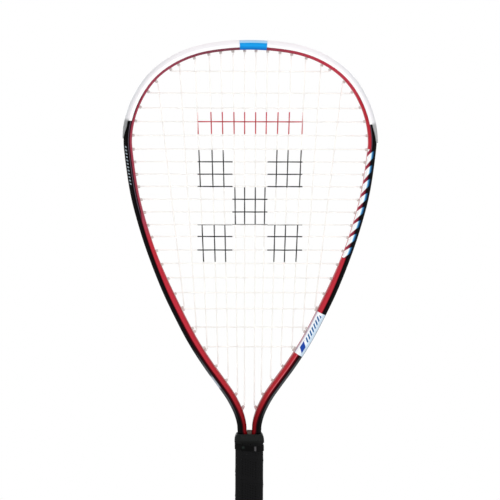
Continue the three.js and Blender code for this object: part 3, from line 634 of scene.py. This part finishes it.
def grip_surface():
    """The wound grip: at each height the handle's ring stands out by a saw tooth of the height
    over the pitch plus the share of the way round, so each turn laps over the one below."""
    ring = pallet_ring(0)
    steps = np.linalg.norm(np.roll(ring, -1, 0) - ring, axis=1)
    share = np.concatenate([[0], np.cumsum(steps)[:-1]]) / steps.sum()
    along = np.roll(ring, -1, 0) - np.roll(ring, 1, 0)
    normals = unit(np.stack([along[:, 1], -along[:, 0]], -1))
    heights = np.arange(GRIP_BOTTOM, PALLET_TOP + 0.01, 0.4)[:, None]
    turn = (heights - GRIP_BOTTOM) / GRIP_PITCH + share
    tooth = turn % 1
    lap = 0.42 * np.exp(-tooth / 0.07) * smoothstep(tooth, 0, 0.012)
    valley = -0.22 * np.exp(-(((tooth - 1) / 0.014) ** 2))
    tape_bottom = TAPE_TOP - TAPE_WIDTH
    fade = smoothstep(heights, GRIP_BOTTOM, GRIP_BOTTOM + 4)
    fade = fade * (1 - smoothstep(heights, tape_bottom - 4, tape_bottom))
    soft = 0.25 * np.exp(-((heights - GRIP_BOTTOM) / 0.4) ** 2)
    outset = GAP + GRIP_THICKNESS + (lap + valley) * fade - soft
    outer = ring + normals * outset[..., None]
    inner = np.repeat((ring + normals * GAP)[None], 2, 0)
    levels = np.vstack([heights, PALLET_TOP, GRIP_BOTTOM])
    wound = np.vstack([turn, turn[-1:], turn[:1]]) * GRIP_PITCH
    marks = np.stack(np.broadcast_arrays(wound, share * GRIP_GIRTH, levels), -1)
    return stacked(np.concatenate([outer, inner]), levels, marks)


def tape_surface():
    """The finishing tape: a thin ring, tilted a little, whose edges stand out softly."""
    inside = GAP * 2 + GRIP_THICKNESS
    profile = np.array([
        (0, 0), (0, 0.28), (0.12, 0.4), (0.35, 0.36), (0.65, 0.34), (0.88, 0.4), (1, 0.26), (1, 0),
    ])
    rings = np.array([pallet_ring(inside + out, 1.5) for _, out in profile])
    slant = -TAPE_SLANT * rings[0][:, 0] / 14
    bottom = TAPE_TOP - TAPE_WIDTH + TAPE_SLANT
    return stacked(rings, bottom + profile[:, :1] * (TAPE_WIDTH - 2 * TAPE_SLANT) + slant)


def collar_surface():
    """The collar: its ring changes from the handle's octagon to the outline of the two legs, by
    a share that grows ever faster up the collar, so its side bulges."""
    half, deep = tube_half(np.array(COLLAR_TOP))
    octagon = PALLET + OUTSET * (GAP * 2 + GRIP_THICKNESS)
    legs = np.array([LEG_SPREAD + half + GAP, deep + GAP, OUTER_BEVEL[0]])
    profile = np.array([  # share of the way up, outset, and share of the legs' outline
        (0, 0.1, 0), (0, 0.45, 0), (0.035, 0.6, 0), (0.08, 0.6, 0), (0.25, 0.6, 0.02),
        (0.45, 0.62, 0.12), (0.62, 0.66, 0.3), (0.78, 0.66, 0.56), (0.9, 0.58, 0.8),
        (0.97, 0.5, 0.95), (0.995, 0.36, 1), (1, 0.2, 1), (1, 0.02, 1), (0.9, 0, 1),
        (0.21, 0, 1), (0.19, 0, 0), (0.05, 0, 0),
    ])
    rings = [
        handle_ring(octagon + (legs - octagon) * share + outset * np.array([1, 1, 0.59]), 1.6)
        for _, outset, share in profile
    ]
    tall = COLLAR_TOP - COLLAR_DROP - COLLAR_BOTTOM
    return stacked(rings, COLLAR_BOTTOM + tall * profile[:, 0])


def wedge_surface():
    """The wedge between the legs: its sides follow them, and its top edge is drawn in."""
    below_top = np.append(np.linspace(WEDGE_TOP - WEDGE_BOTTOM, 0.8, 20), [0.4, 0.1, 0])
    drawn_in = np.append(np.zeros(20), [0.12, 0.4, 0.8])
    runs = run_at_height(WEDGE_TOP - below_top)
    inner = on_hoop(runs, -half_at(runs)[0] - SNUG, 0)
    x, y = np.maximum(inner[:, 0] - drawn_in, 0.15), WEDGE_HALF_DEPTH - drawn_in
    corners = np.stack([x, y, -x, y, -x, -y, x, -y], -1).reshape(-1, 4, 2)
    return stacked(soft_corners(corners, 0.5, 4), inner[:, 2], loop=False)


def cap_surface():
    """The butt cap: a smooth curve of outset against height, down over the flare, in under the
    foot to the round lanyard hole, up through it and back along the inside. A ring goes from
    the octagon to a circle by its roundness."""
    top = GRIP_BOTTOM - GAP
    grip_out = GAP + GRIP_THICKNESS
    outside = spline(np.array([
        (top + 0.3, 0), (top, grip_out - 0.35), (top - 0.35, grip_out),
        *((share * top, outset) for share, outset in CAP_FLARE),
    ]), 4)
    outside[:, 0] = np.clip(outside[:, 0], 0, None)
    profile = [  # height, outset, roundness, and radius of the circle
        (CAP_SKIRT, -0.95, 0, 0), (CAP_SKIRT, 0, 0, 0), *((*point, 0, 0) for point in outside),
        (0, 1.6, 0, 0), (0.35, 1.2, 0, 0), (0.35, -2.5, 0.4, 6.9), (0.35, -5.2, 1, 4.35),
        (0.7, -5.5, 1, 4), (CAP_FLOOR, -5.5, 1, 4), (CAP_FLOOR, -3, 0.3, 6.4),
        (CAP_FLOOR, -1, 0, 0),
    ]
    rings = []
    for _, outset, roundness, radius in profile:
        ring = pallet_ring(outset, 1.6)
        rings.append(ring + (unit(ring) * radius - ring) * roundness)
    return stacked(rings, [point[0] for point in profile])


# Finishes

DULL = 0.08
BARS = (451.6, 344.5)  # heights of the ends of the bars on the frame, and of its label
LABEL = (290.4, 249.6)
HOLE_PITCH = 2.4  # of the small holes in the grip


def shade(code):
    """A colour from its six-figure screen code, as linear light."""
    parts = np.array([int(code[i : i + 2], 16) for i in (0, 2, 4)]) / 255
    linear = np.where(parts <= 0.04045, parts / 12.92, ((parts + 0.055) / 1.055) ** 2.4)
    return (*linear.tolist(), 1.0)


class Value:
    """A socket's number. Sums, products and the like of it add Math nodes."""

    def __init__(self, nodes, socket):
        self.nodes, self.socket = nodes, socket

    def math(self, operation, *others):
        values = dict(enumerate((self, *others)))
        return self.nodes.node("ShaderNodeMath", {"operation": operation}, values)

    def __add__(self, other):
        return self.math("ADD", other)

    def __sub__(self, other):
        return self.math("SUBTRACT", other)

    def __mul__(self, other):
        return self.math("MULTIPLY", other)

    def __truediv__(self, other):
        return self.math("DIVIDE", other)

    def __rsub__(self, other):
        return self * -1 + other

    __radd__ = __add__
    __rmul__ = __mul__

    def rise(self, low, high):
        """0 below low, 1 above high and a smooth step between; low may be the larger."""
        sockets = {"Value": self, "From Min": low, "From Max": high}
        settings = {"interpolation_type": "SMOOTHSTEP"}
        return self.nodes.node("ShaderNodeMapRange", settings, sockets)

    def within(self, low, high, edge):
        """1 between low and high, with edges that wide."""
        return self.rise(low - edge, low + edge) * (1 - self.rise(high - edge, high + edge))

    def part(self):
        return self.math("FRACT")

    def size(self):
        return self.math("ABSOLUTE")


class Nodes:
    """The nodes of a material or a world."""

    def __init__(self, tree):
        self.tree = tree

    def put(self, socket, value):
        """A link, a number, or a colour's screen code, into a socket."""
        if isinstance(value, Value):
            self.tree.links.new(value.socket, socket)
        else:
            socket.default_value = shade(value) if isinstance(value, str) else value

    def node(self, kind, settings=None, inputs=None, output=0):
        """A new node from its settings and from what goes into its sockets."""
        node = self.tree.nodes.new(kind)
        for setting, value in (settings or {}).items():
            setattr(node, setting, value)
        for socket, value in (inputs or {}).items():
            self.put(node.inputs[socket], value)
        return Value(self, node.outputs[output])

    def seen(self):
        """1 for what the camera sees directly, in a reflection or through a clear piece."""
        direct = 0
        for ray in ("Camera", "Glossy", "Transmission"):
            here = self.node("ShaderNodeLightPath", output=f"Is {ray} Ray")
            direct = here.math("MAXIMUM", direct)
        return direct


class Finish(Nodes):
    """A material: one Principled shader, whose specular level is its shine, and its nodes."""

    def __init__(self, name, color, roughness, shine=0.5, **constants):
        self.material = bpy.data.materials.new(name)
        self.material.use_nodes = True
        super().__init__(self.material.node_tree)
        self.shader = self.tree.nodes["Principled BSDF"]
        self.feed(Base_Color=color, Roughness=roughness, Specular_IOR_Level=shine, **constants)

    def feed(self, **sockets):
        """What goes into the shader; a name's underscores stand for spaces."""
        for name, value in sockets.items():
            self.put(self.shader.inputs[name.replace("_", " ")], value)

    def split(self, vector):
        """The three numbers of a vector."""
        return [self.node("ShaderNodeSeparateXYZ", None, {0: vector}, axis) for axis in range(3)]

    def place(self):
        """The object's own coordinates, in millimetres, as X, Y and Z."""
        where = self.node("ShaderNodeTexCoord", output="Object")
        return [value * 1000 for value in self.split(where)]

    def marks(self):
        """The three marks of a point on its piece."""
        attribute = {"attribute_name": "marks"}
        return self.split(self.node("ShaderNodeAttribute", attribute, output="Vector"))

    def mix(self, color, *layers):
        """A colour with others laid over it in turn, each followed by its share."""
        for over, share in zip(layers[::2], layers[1::2]):
            inputs = {0: share, 6: color, 7: over}
            color = self.node("ShaderNodeMix", {"data_type": "RGBA"}, inputs, 2)
        return color

    def noise(self, scale, detail=3.0):
        """Cloudy noise on the object's own coordinates."""
        where = self.node("ShaderNodeTexCoord", output="Object")
        sockets = {"Vector": where, "Scale": scale, "Detail": detail}
        return self.node("ShaderNodeTexNoise", None, sockets, "Fac")

    def done(self, color, relief=None, depth=0.00005):
        """The material, with its colour and its small relief, so many metres deep."""
        self.feed(Base_Color=color)
        if relief is not None:
            sockets = {"Height": relief, "Distance": depth, "Strength": 1.0}
            self.feed(Normal=self.node("ShaderNodeBump", None, sockets))
        return self.material


def plain(name, color, roughness, grain=0.0, scale=900.0, depth=0.00006, **constants):
    """One colour, with a slight cloudy grain in it and a finer one in its relief."""
    finish = Finish(name, color, roughness, **constants)
    if grain:
        dark = (*(part * (1 - grain) for part in shade(color)[:3]), 1.0)
        color = finish.mix(dark, color, finish.noise(scale / 14, 2))
    return finish.done(color, finish.noise(scale), depth)


def two_bands(paint, run, inset, back):
    """Black outside and red inside, with a crimson blend between them that widens where the
    tube is ridged, and more so on the left as painted shade. Light and shade are also
    painted along the run: the red is darker near the top, high on the left, a little down the
    legs, much more towards the collar, and at its inner edge; the black has a painted grey
    sheen low on the outer bevel and a small pale painted highlight on the left; thin purple-grey
    and pink painted highlights run along the blend."""
    away = run.size()
    left = run.rise(0.5, -0.5)
    ridged = away.within(119, 247, 6)
    black_to = 4.1 - 0.8 * away.rise(320, 395) + 1.5 * away.rise(452, 480) + 0.35 * ridged
    red_from = 4.9 + 0.3 * away.rise(320, 400) + 0.8 * away.rise(455, 482)
    red_from = red_from + (0.7 + 0.8 * left) * ridged

    # Painted shade: the red darkens near the top beside the guard, high on the left, a little down
    # the legs and much more towards the collar, and next to the blend and at the inner edge
    # (shaded).
    shaded_top_red = paint.mix("94404F", "C03A4B", away.rise(10, 80))
    shaded_left_red = paint.mix("80404E", "A04456", away.rise(20, 110))
    lower = paint.mix("BB2F3C", "AE2A32", away.rise(360, 440))
    lowered = away.rise(112, 136) * (1 - 0.8 * left * away.rise(276, 252))
    shaded = inset.rise(8, 9.3) * 0.35 + (inset - red_from).rise(0.9, 0) * 0.25
    # A thin pink painted highlight at the start of the red, low on the right.
    ridge_highlight = (inset - red_from).within(0.3, 0.9, 0.25) * run.within(392, 446, 8) * 0.45
    red = paint.mix(
        shaded_top_red, shaded_left_red, left, lower, lowered,
        "70090E", away.rise(432, 490), "6A1420", shaded, "E08A94", ridge_highlight,
    )

    # A painted grey sheen on the black of the outer bevel low on the legs, and a small pale
    # painted highlight on the left side.
    sheen = inset.within(-1, 2.4, 0.4) * away.within(398, 462, 14)
    pale_highlight = inset.within(-1, 1.7, 0.5) * run.within(-434, -420, 2.5) * back.rise(2, 0)
    black = paint.mix("080708", "4A4C4F", sheen, "AEB6C2", pale_highlight)
    crimson = paint.mix("34030A", "2B0D16", ridged)
    to_crimson = (inset - black_to).rise(-0.15, 0.3)
    # A purple-grey painted highlight along the black's edge where the tube is ridged.
    lilac_highlight = (inset - black_to).within(0.15, 0.75, 0.2) * ridged * 0.6
    to_red = (inset - red_from).rise(-0.6, 0.4)
    return paint.mix(black, crimson, to_crimson, "665C6A", lilac_highlight, red, to_red)


def slanted_bars(paint, color, run, inset, front):
    """A row of eight bars on the right, blue outside and white inside, with dark gaps."""
    first, last = run_at_height(np.array(BARS)).tolist()
    on_bars = run.within(first, last, 0.4) * front
    gap = paint.mix("08090D", "9C3046", inset.rise(3.8, 7))
    slanted = ((run - first - 0.1 * inset * inset) / ((last - first) / 8)).part()
    bar = slanted.within(0.05, 0.46 + 0.035 * inset, 0.03) * on_bars * inset.rise(0.9, 1.5)
    tint = paint.mix(
        "0A1728", "2A70A8", inset.rise(1.9, 3.5), "8CC8EA", inset.rise(3.3, 4.5),
        "F9FBFC", inset.rise(4, 5.3),
    )
    return paint.mix(color, gap, on_bars, tint, bar)


def label(paint, color, run, inset, back):
    """A pale label lower down on the right, with ticks and a block, and painted shade as thin grey
    and purple-grey lines along its edges.
    """
    first, last = run_at_height(np.array(LABEL)).tolist()
    on_label = run.within(first, last, 0.12) * back.rise(-2, -2.6)
    slope = run + 0.9 * inset
    tick = (slope / 3.9).part().within(0.2, 0.74, 0.03)
    ticks = tick * inset.within(3.4, 7.2, 0.2) * run.within(first + 2.6, last - 15, 0.1)
    block = inset.within(2.8, 7.6, 0.2) * slope.within(last - 7.6, last - 0.2, 0.2)
    # The grey line at the outer edge and the purple-grey one at the inner edge are painted shade.
    face = paint.mix(
        "CFE2F2", "F3F7FC", inset.rise(1.8, 6), "8E949E", inset.rise(1.1, 0.4) * 0.85,
        "A890A6", inset.rise(8.6, 9.2) * 0.9, "1F5F97", ticks, "2346A0", block,
    )
    return paint.mix(color, face, on_label)


def lacquer():
    """The frame's paint, from the run, the inset from the outer side, and the distance back:
    two bands, with bars and a label on the right and a row of fine ticks on the left."""
    paint = Finish("frame_lacquer", "C4303C", 0.38, 0.025)
    run, inset, back = paint.marks()
    front = back.rise(-4.2, -4.6)
    color = two_bands(paint, run, inset, back)
    color = slanted_bars(paint, color, run, inset, front)
    color = label(paint, color, run, inset, back)
    tick = ((run + 0.5 * inset) / 3.3).part().within(0.28, 0.7, 0.05)
    ticks = tick * inset.within(1.2, 2.9, 0.2) * run.within(-216, -176, 0.3) * front
    return paint.done(paint.mix(color, "98A4AC", ticks))


def guard_finish():
    """The guard: white, with painted shade: more grey towards the outer edge of its bevel the
    further it is from the top, and grey on its tails."""
    finish = Finish("guard_plastic", "F8F6F8", 0.42)
    run, inset, _ = finish.marks()
    away = run.size()
    # Painted shade: the bevel goes grey away from the top, and the tails are grey.
    side_shade = away.rise(50, 125)
    outer = finish.mix("FDF8FB", "D6D8DB", side_shade)
    inner = finish.mix("FFFCFF", "F5F2F6", side_shade)
    left_end, right_end = WING_ENDS.tolist()
    right = run.rise(-0.5, 0.5)
    tail_shade = (away - left_end - (right_end - left_end) * right).rise(-2.5, 2)
    tail = finish.mix("8B8D8E", "A9AAAB", right)
    color = finish.mix(
        outer, inner, inset.rise(-1.2, 2), "F9F7F9", inset.rise(1.8, 3),
        tail, tail_shade * inset.rise(3.6, 2.9),
    )
    return finish.done(color, finish.noise(600))


def band_finish():
    """The clip: blue, paler on its top bevel and outer side as painted light, and darker towards
    its inner edge as painted shade.
    """
    finish = Finish("band_plastic", "1189E2", 0.35, 0.1)
    _, inset, _ = finish.marks()
    # The pale top bevel is a painted highlight; the darker inner part is painted shade.
    color = finish.mix(
        "BCD4EE", "A4DAFC", inset.rise(-1.6, 1.2), "129AE6", inset.rise(1.2, 1.5),
        "0862B4", inset.rise(3.6, 8.2),
    )
    return finish.done(color, finish.noise(700, 2), 0.00004)


def collar_finish():
    """Black rubber, darker on the lower lip, with a fine grain."""
    finish = Finish("collar_rubber", "131514", 0.5, DULL)
    height = finish.place()[2]
    color = finish.mix("070807", "141615", height.rise(163.6, 165.2))
    return finish.done(color, finish.noise(1400))


def tape_finish():
    """Black tape, with two small painted highlights on its front."""
    finish = Finish("tape_vinyl", "060606", 0.4, 0.04)
    x, y, z = finish.place()
    front = y.rise(-8, -10)
    # Two painted highlights on the tape's front, a brighter one on the right and a faint one on
    # the left.
    bright_highlight = x.within(4.9, 6.6, 0.7) * z.within(154.2, 159, 0.8)
    faint_highlight = x.within(-7.4, -5, 0.9) * z.within(157, 159.2, 0.8)
    color = finish.mix("060606", "504E50", bright_highlight * front, "1E2623", faint_highlight * front)
    return finish.done(color, finish.noise(800))


def string_finish():
    """Natural string, with a printed chequer of squares and a bar above it where the ink lies on
    the front of the strings."""
    finish = Finish("string_nylon", "FEFCF9", 0.35, 0.4, Transmission_Weight=0.55, IOR=1.25)
    side, width, height = 51.6, 34.4, 36.8  # half the print's width, and a square's sides
    low, high = 340.5, 450.9
    x, y, z = finish.place()
    column = ((x + side) / width).math("FLOOR")
    row = ((z - low) / height).math("FLOOR")
    chequer = ((column + row + 10) / 2).part().rise(0.3, 0.2)
    across = x.within(-side, side, 0.2)
    squares = chequer * across * z.within(low, high, 0.2)
    bar = across * z.within(466.4, 488.1, 0.2)
    inked = y.rise(0.5, 0.1)
    return finish.done(finish.mix("FEFCF9", "17171A", squares * inked, "C02636", bar * inked))


def grip_finish():
    """Black grip tape with rows of small holes along its winding, and a fine grain."""
    finish = Finish("grip_synthetic", "171718", 0.62, 0.06)
    up, along, _ = finish.marks()
    first, second = (((mark / HOLE_PITCH).part() - 0.5).size() for mark in (up, along))
    hole = (first * first + second * second).math("SQRT").rise(0.22, 0.14)
    pierced = hole * (up / GRIP_PITCH).part().within(0.16, 0.9, 0.01)
    color = finish.mix("0F0F10", "030303", pierced)
    return finish.done(color, finish.noise(1500) * 0.25 - pierced, 0.00025)


LACQUER = lacquer()
GUARD = guard_finish()
GUARD_BARREL = plain("guard_barrel", "DDD9D6", 0.5)
BAND = band_finish()
GROMMET = plain("grommet_plastic", "DAD2CE", 0.5)
THROAT_GROMMET = plain("throat_grommet_plastic", "D8C0BF", 0.5)
STRING = string_finish()
WEDGE = plain("insert_rubber", "5C5149", 0.7, 0.2, shine=0.2)
FOAM = plain("pallet_foam", "8A8D90", 0.8, 0.15, 1200.0, 0.0002)
COLLAR = collar_finish()
TAPE = tape_finish()
GRIP = grip_finish()
CAP = plain("cap_plastic", "131314", 0.5, 0.1, 2200.0, 0.00008, shine=DULL)
STEEL = plain("staple_steel", "B8BCC0", 0.35, 0.05, Metallic=1.0)

# The racket

frame_runs = np.interp(np.arange(781), [0, 260, 520, 780], [-HALF_RUN, -WIDEST, WIDEST, HALF_RUN])
tube = along_hoop(frame_runs, frame_section, [1.6, 1.4, 1.1, 1.2, 0.3, 0.2])
make("frame_tube", [tube], [LACQUER], "frame")

guard_runs = [np.linspace(-GUARD_ENDS[0], GUARD_ENDS[1], 300), [-TAPER_RUN, TAPER_RUN]]
for side, end in zip((-1, 1), WING_ENDS):
    guard_runs.append(BAND_OFFSET + side * (RECESS_HALF_WIDTH + np.array([-0.05, 0.05])))
    guard_runs.append(side * (end + WING_END * np.arange(3)))
guard_reach = [0.2, 0.2, 0.7, 0.3, 0.25, 0.35, 0.8, 1.0, 0.5, 0.2]
guard_parts = [along_hoop(np.unique(np.concatenate(guard_runs)), guard_section, guard_reach)]
for side in (-1, 1):
    guard_parts += barrels(side * TOP_HOLES, MAIN_LAYER, finish=1)
    guard_parts += barrels(side * CROSS_HOLES[:GUARD_CROSSES], -MAIN_LAYER, finish=1)
make("guard", guard_parts, [GUARD, GUARD_BARREL], "bumper_guard")

band_runs = np.linspace(-BAND_WIDTH / 2, BAND_WIDTH / 2, 24) + BAND_OFFSET
band_runs = np.sort(np.append(band_runs, band_runs[[0, -1]] + (0.2, -0.2)))
band_shrink = [0.12, *[0] * 24, 0.12]
band = along_hoop(band_runs, band_section, [0.8, 0.8, 0.1, 0.1, 0.2, 0.3, 1.0, 1.0], band_shrink)
make("band", [band], [BAND], "top_band")

strip_reach = [0.2, 0.25, 0.25, 0.3]
for name, side, guard_end in (("right", 1, GUARD_ENDS[1]), ("left", -1, GUARD_ENDS[0])):
    runs = side * np.linspace(guard_end + GAP, STRIP_END, 220)
    parts = [along_hoop(runs, strip_section, strip_reach)]
    parts += barrels(side * CROSS_HOLES[GUARD_CROSSES:], -MAIN_LAYER)
    parts += barrels(side * BOTTOM_HOLES[2:], MAIN_LAYER)
    make(f"strip_{name}", parts, [GROMMET], f"grommet_strip_{name}")
    for place, hole, tilt in zip(("inner", "outer"), BOTTOM_HOLES, TILTS):
        middle = exit_run(hole, tilt)
        runs = side * np.linspace(middle - THROAT_BASE / 2, middle + THROAT_BASE / 2, 16)
        parts = [along_hoop(runs, strip_section, strip_reach)]
        parts += barrels([side * hole], MAIN_LAYER, tilt)
        node = f"throat_grommet_{name}_{place}"
        make(f"grommet_{name}_{place}", parts, [THROAT_GROMMET], node)

mains = [main_route().surface(), *knots([BOTTOM_HOLES[-1], -BOTTOM_HOLES[-1]], MAIN_LAYER)]
make("mains", mains, [STRING], "main_string", 60)
crosses = [cross_route().surface(), *knots(-CROSS_HOLES[[0, -1]], -MAIN_LAYER)]
make("crosses", crosses, [STRING], "cross_string", 60)

make("throat_wedge", [wedge_surface()], [WEDGE], "throat_insert")
make("collar_sleeve", [collar_surface()], [COLLAR], "collar")
make("tape_ring", [tape_surface()], [TAPE], "finishing_tape")
make("grip_wrap", [grip_surface()], [GRIP], "grip_tape", 50)
make("cap", [cap_surface()], [CAP], "butt_cap", 50)

for face in ("front", "back"):
    for node, finish in ((f"handle_pallet_{face}", FOAM), (f"butt_staple_{face}", STEEL)):
        for material_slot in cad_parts[node].material_slots:
            material_slot.material = finish

# Floor, light and camera, in metres

SKY_LEVEL = 0.45
FLOOR_SIZE = 30.0  # from its middle to its edge
LAMP_SIZE = 1.4
LAMPS = {  # place and power
    "key": ((-1.1, -2.2, 1.6), 26),
    "fill": ((1.5, -1.9, 0.9), 17),
    "back_left": ((-1.5, 1.9, 1.2), 22),
    "back_right": ((1.4, 2.1, 1.5), 26),
}
LAMP_TARGET = Vector((0, 0, 0.33))
CAMERA_TARGET = Vector((0.0002, 0.0, 0.3523))
AZIMUTH, ELEVATION, ROLL = radians(-1.0), radians(3.6), radians(0.16)
DISTANCE = 3.0
FIELD = 0.4927  # what the picture takes in across the racket
SENSOR = 36  # in millimetres, as lenses are


def floor_finish():
    """A white floor that keeps its shadows near the racket. Further off it is plain white to the
    camera and to reflections, by a smooth step of the distance from the butt."""
    finish = Finish("floor", "F4F4F4", 0.9)
    x, y, _ = finish.place()
    share = (x * x + y * y).math("SQRT").rise(120, 400) * finish.seen()
    glow = finish.node("ShaderNodeEmission", None, {"Color": (1, 1, 1, 1)})
    lit = Value(finish, finish.shader.outputs[0])
    mixed = finish.node("ShaderNodeMixShader", None, {0: share, 1: lit, 2: glow})
    finish.put(finish.tree.nodes["Material Output"].inputs["Surface"], mixed)
    return finish.material


def turned(item, place, way, name):
    """A lamp or camera at a place, which looks a given way with its top up."""
    thing = bpy.data.objects.new(name, item)
    thing.location = place
    thing.rotation_euler = way.to_track_quat("-Z", "Y").to_euler()
    scene.collection.objects.link(thing)
    return thing


def stage():
    """A floor, a pale world, and soft lamps on all sides."""
    mesh = bpy.data.meshes.new("floor")
    corners = FLOOR_SIZE * np.array([(-1, -1, 0), (1, -1, 0), (1, 1, 0), (-1, 1, 0)])
    mesh.from_pydata(corners.tolist(), [], [(0, 1, 2, 3)])
    mesh.materials.append(floor_finish())
    floor = bpy.data.objects.new("floor", mesh)
    floor.location.z = -0.0005
    scene.collection.objects.link(floor)

    world = bpy.data.worlds.new("studio")
    scene.world = world
    world.use_nodes = True
    sky = Nodes(world.node_tree)
    background = world.node_tree.nodes["Background"]
    sky.put(background.inputs["Color"], (1, 1, 1, 1))
    sky.put(background.inputs["Strength"], SKY_LEVEL + (1 - SKY_LEVEL) * sky.seen())

    for name, (place, power) in LAMPS.items():
        lamp = bpy.data.lights.new(name, "AREA")
        lamp.size, lamp.energy = LAMP_SIZE, power
        turned(lamp, place, LAMP_TARGET - Vector(place), name)


def camera():
    """The photograph's view: from a little to the left, and about level with the top."""
    lens = bpy.data.cameras.new("camera")
    lens.sensor_width = SENSOR
    lens.lens = SENSOR * DISTANCE / FIELD
    lens.clip_end = 60
    flat = cos(ELEVATION)
    back = Vector((sin(AZIMUTH) * flat, -cos(AZIMUTH) * flat, sin(ELEVATION)))
    eye = turned(lens, CAMERA_TARGET + back * DISTANCE, -back, "camera")
    eye.rotation_euler.rotate_axis("Z", ROLL)
    scene.camera = eye


stage()
camera()
scene.view_settings.view_transform = "Standard"
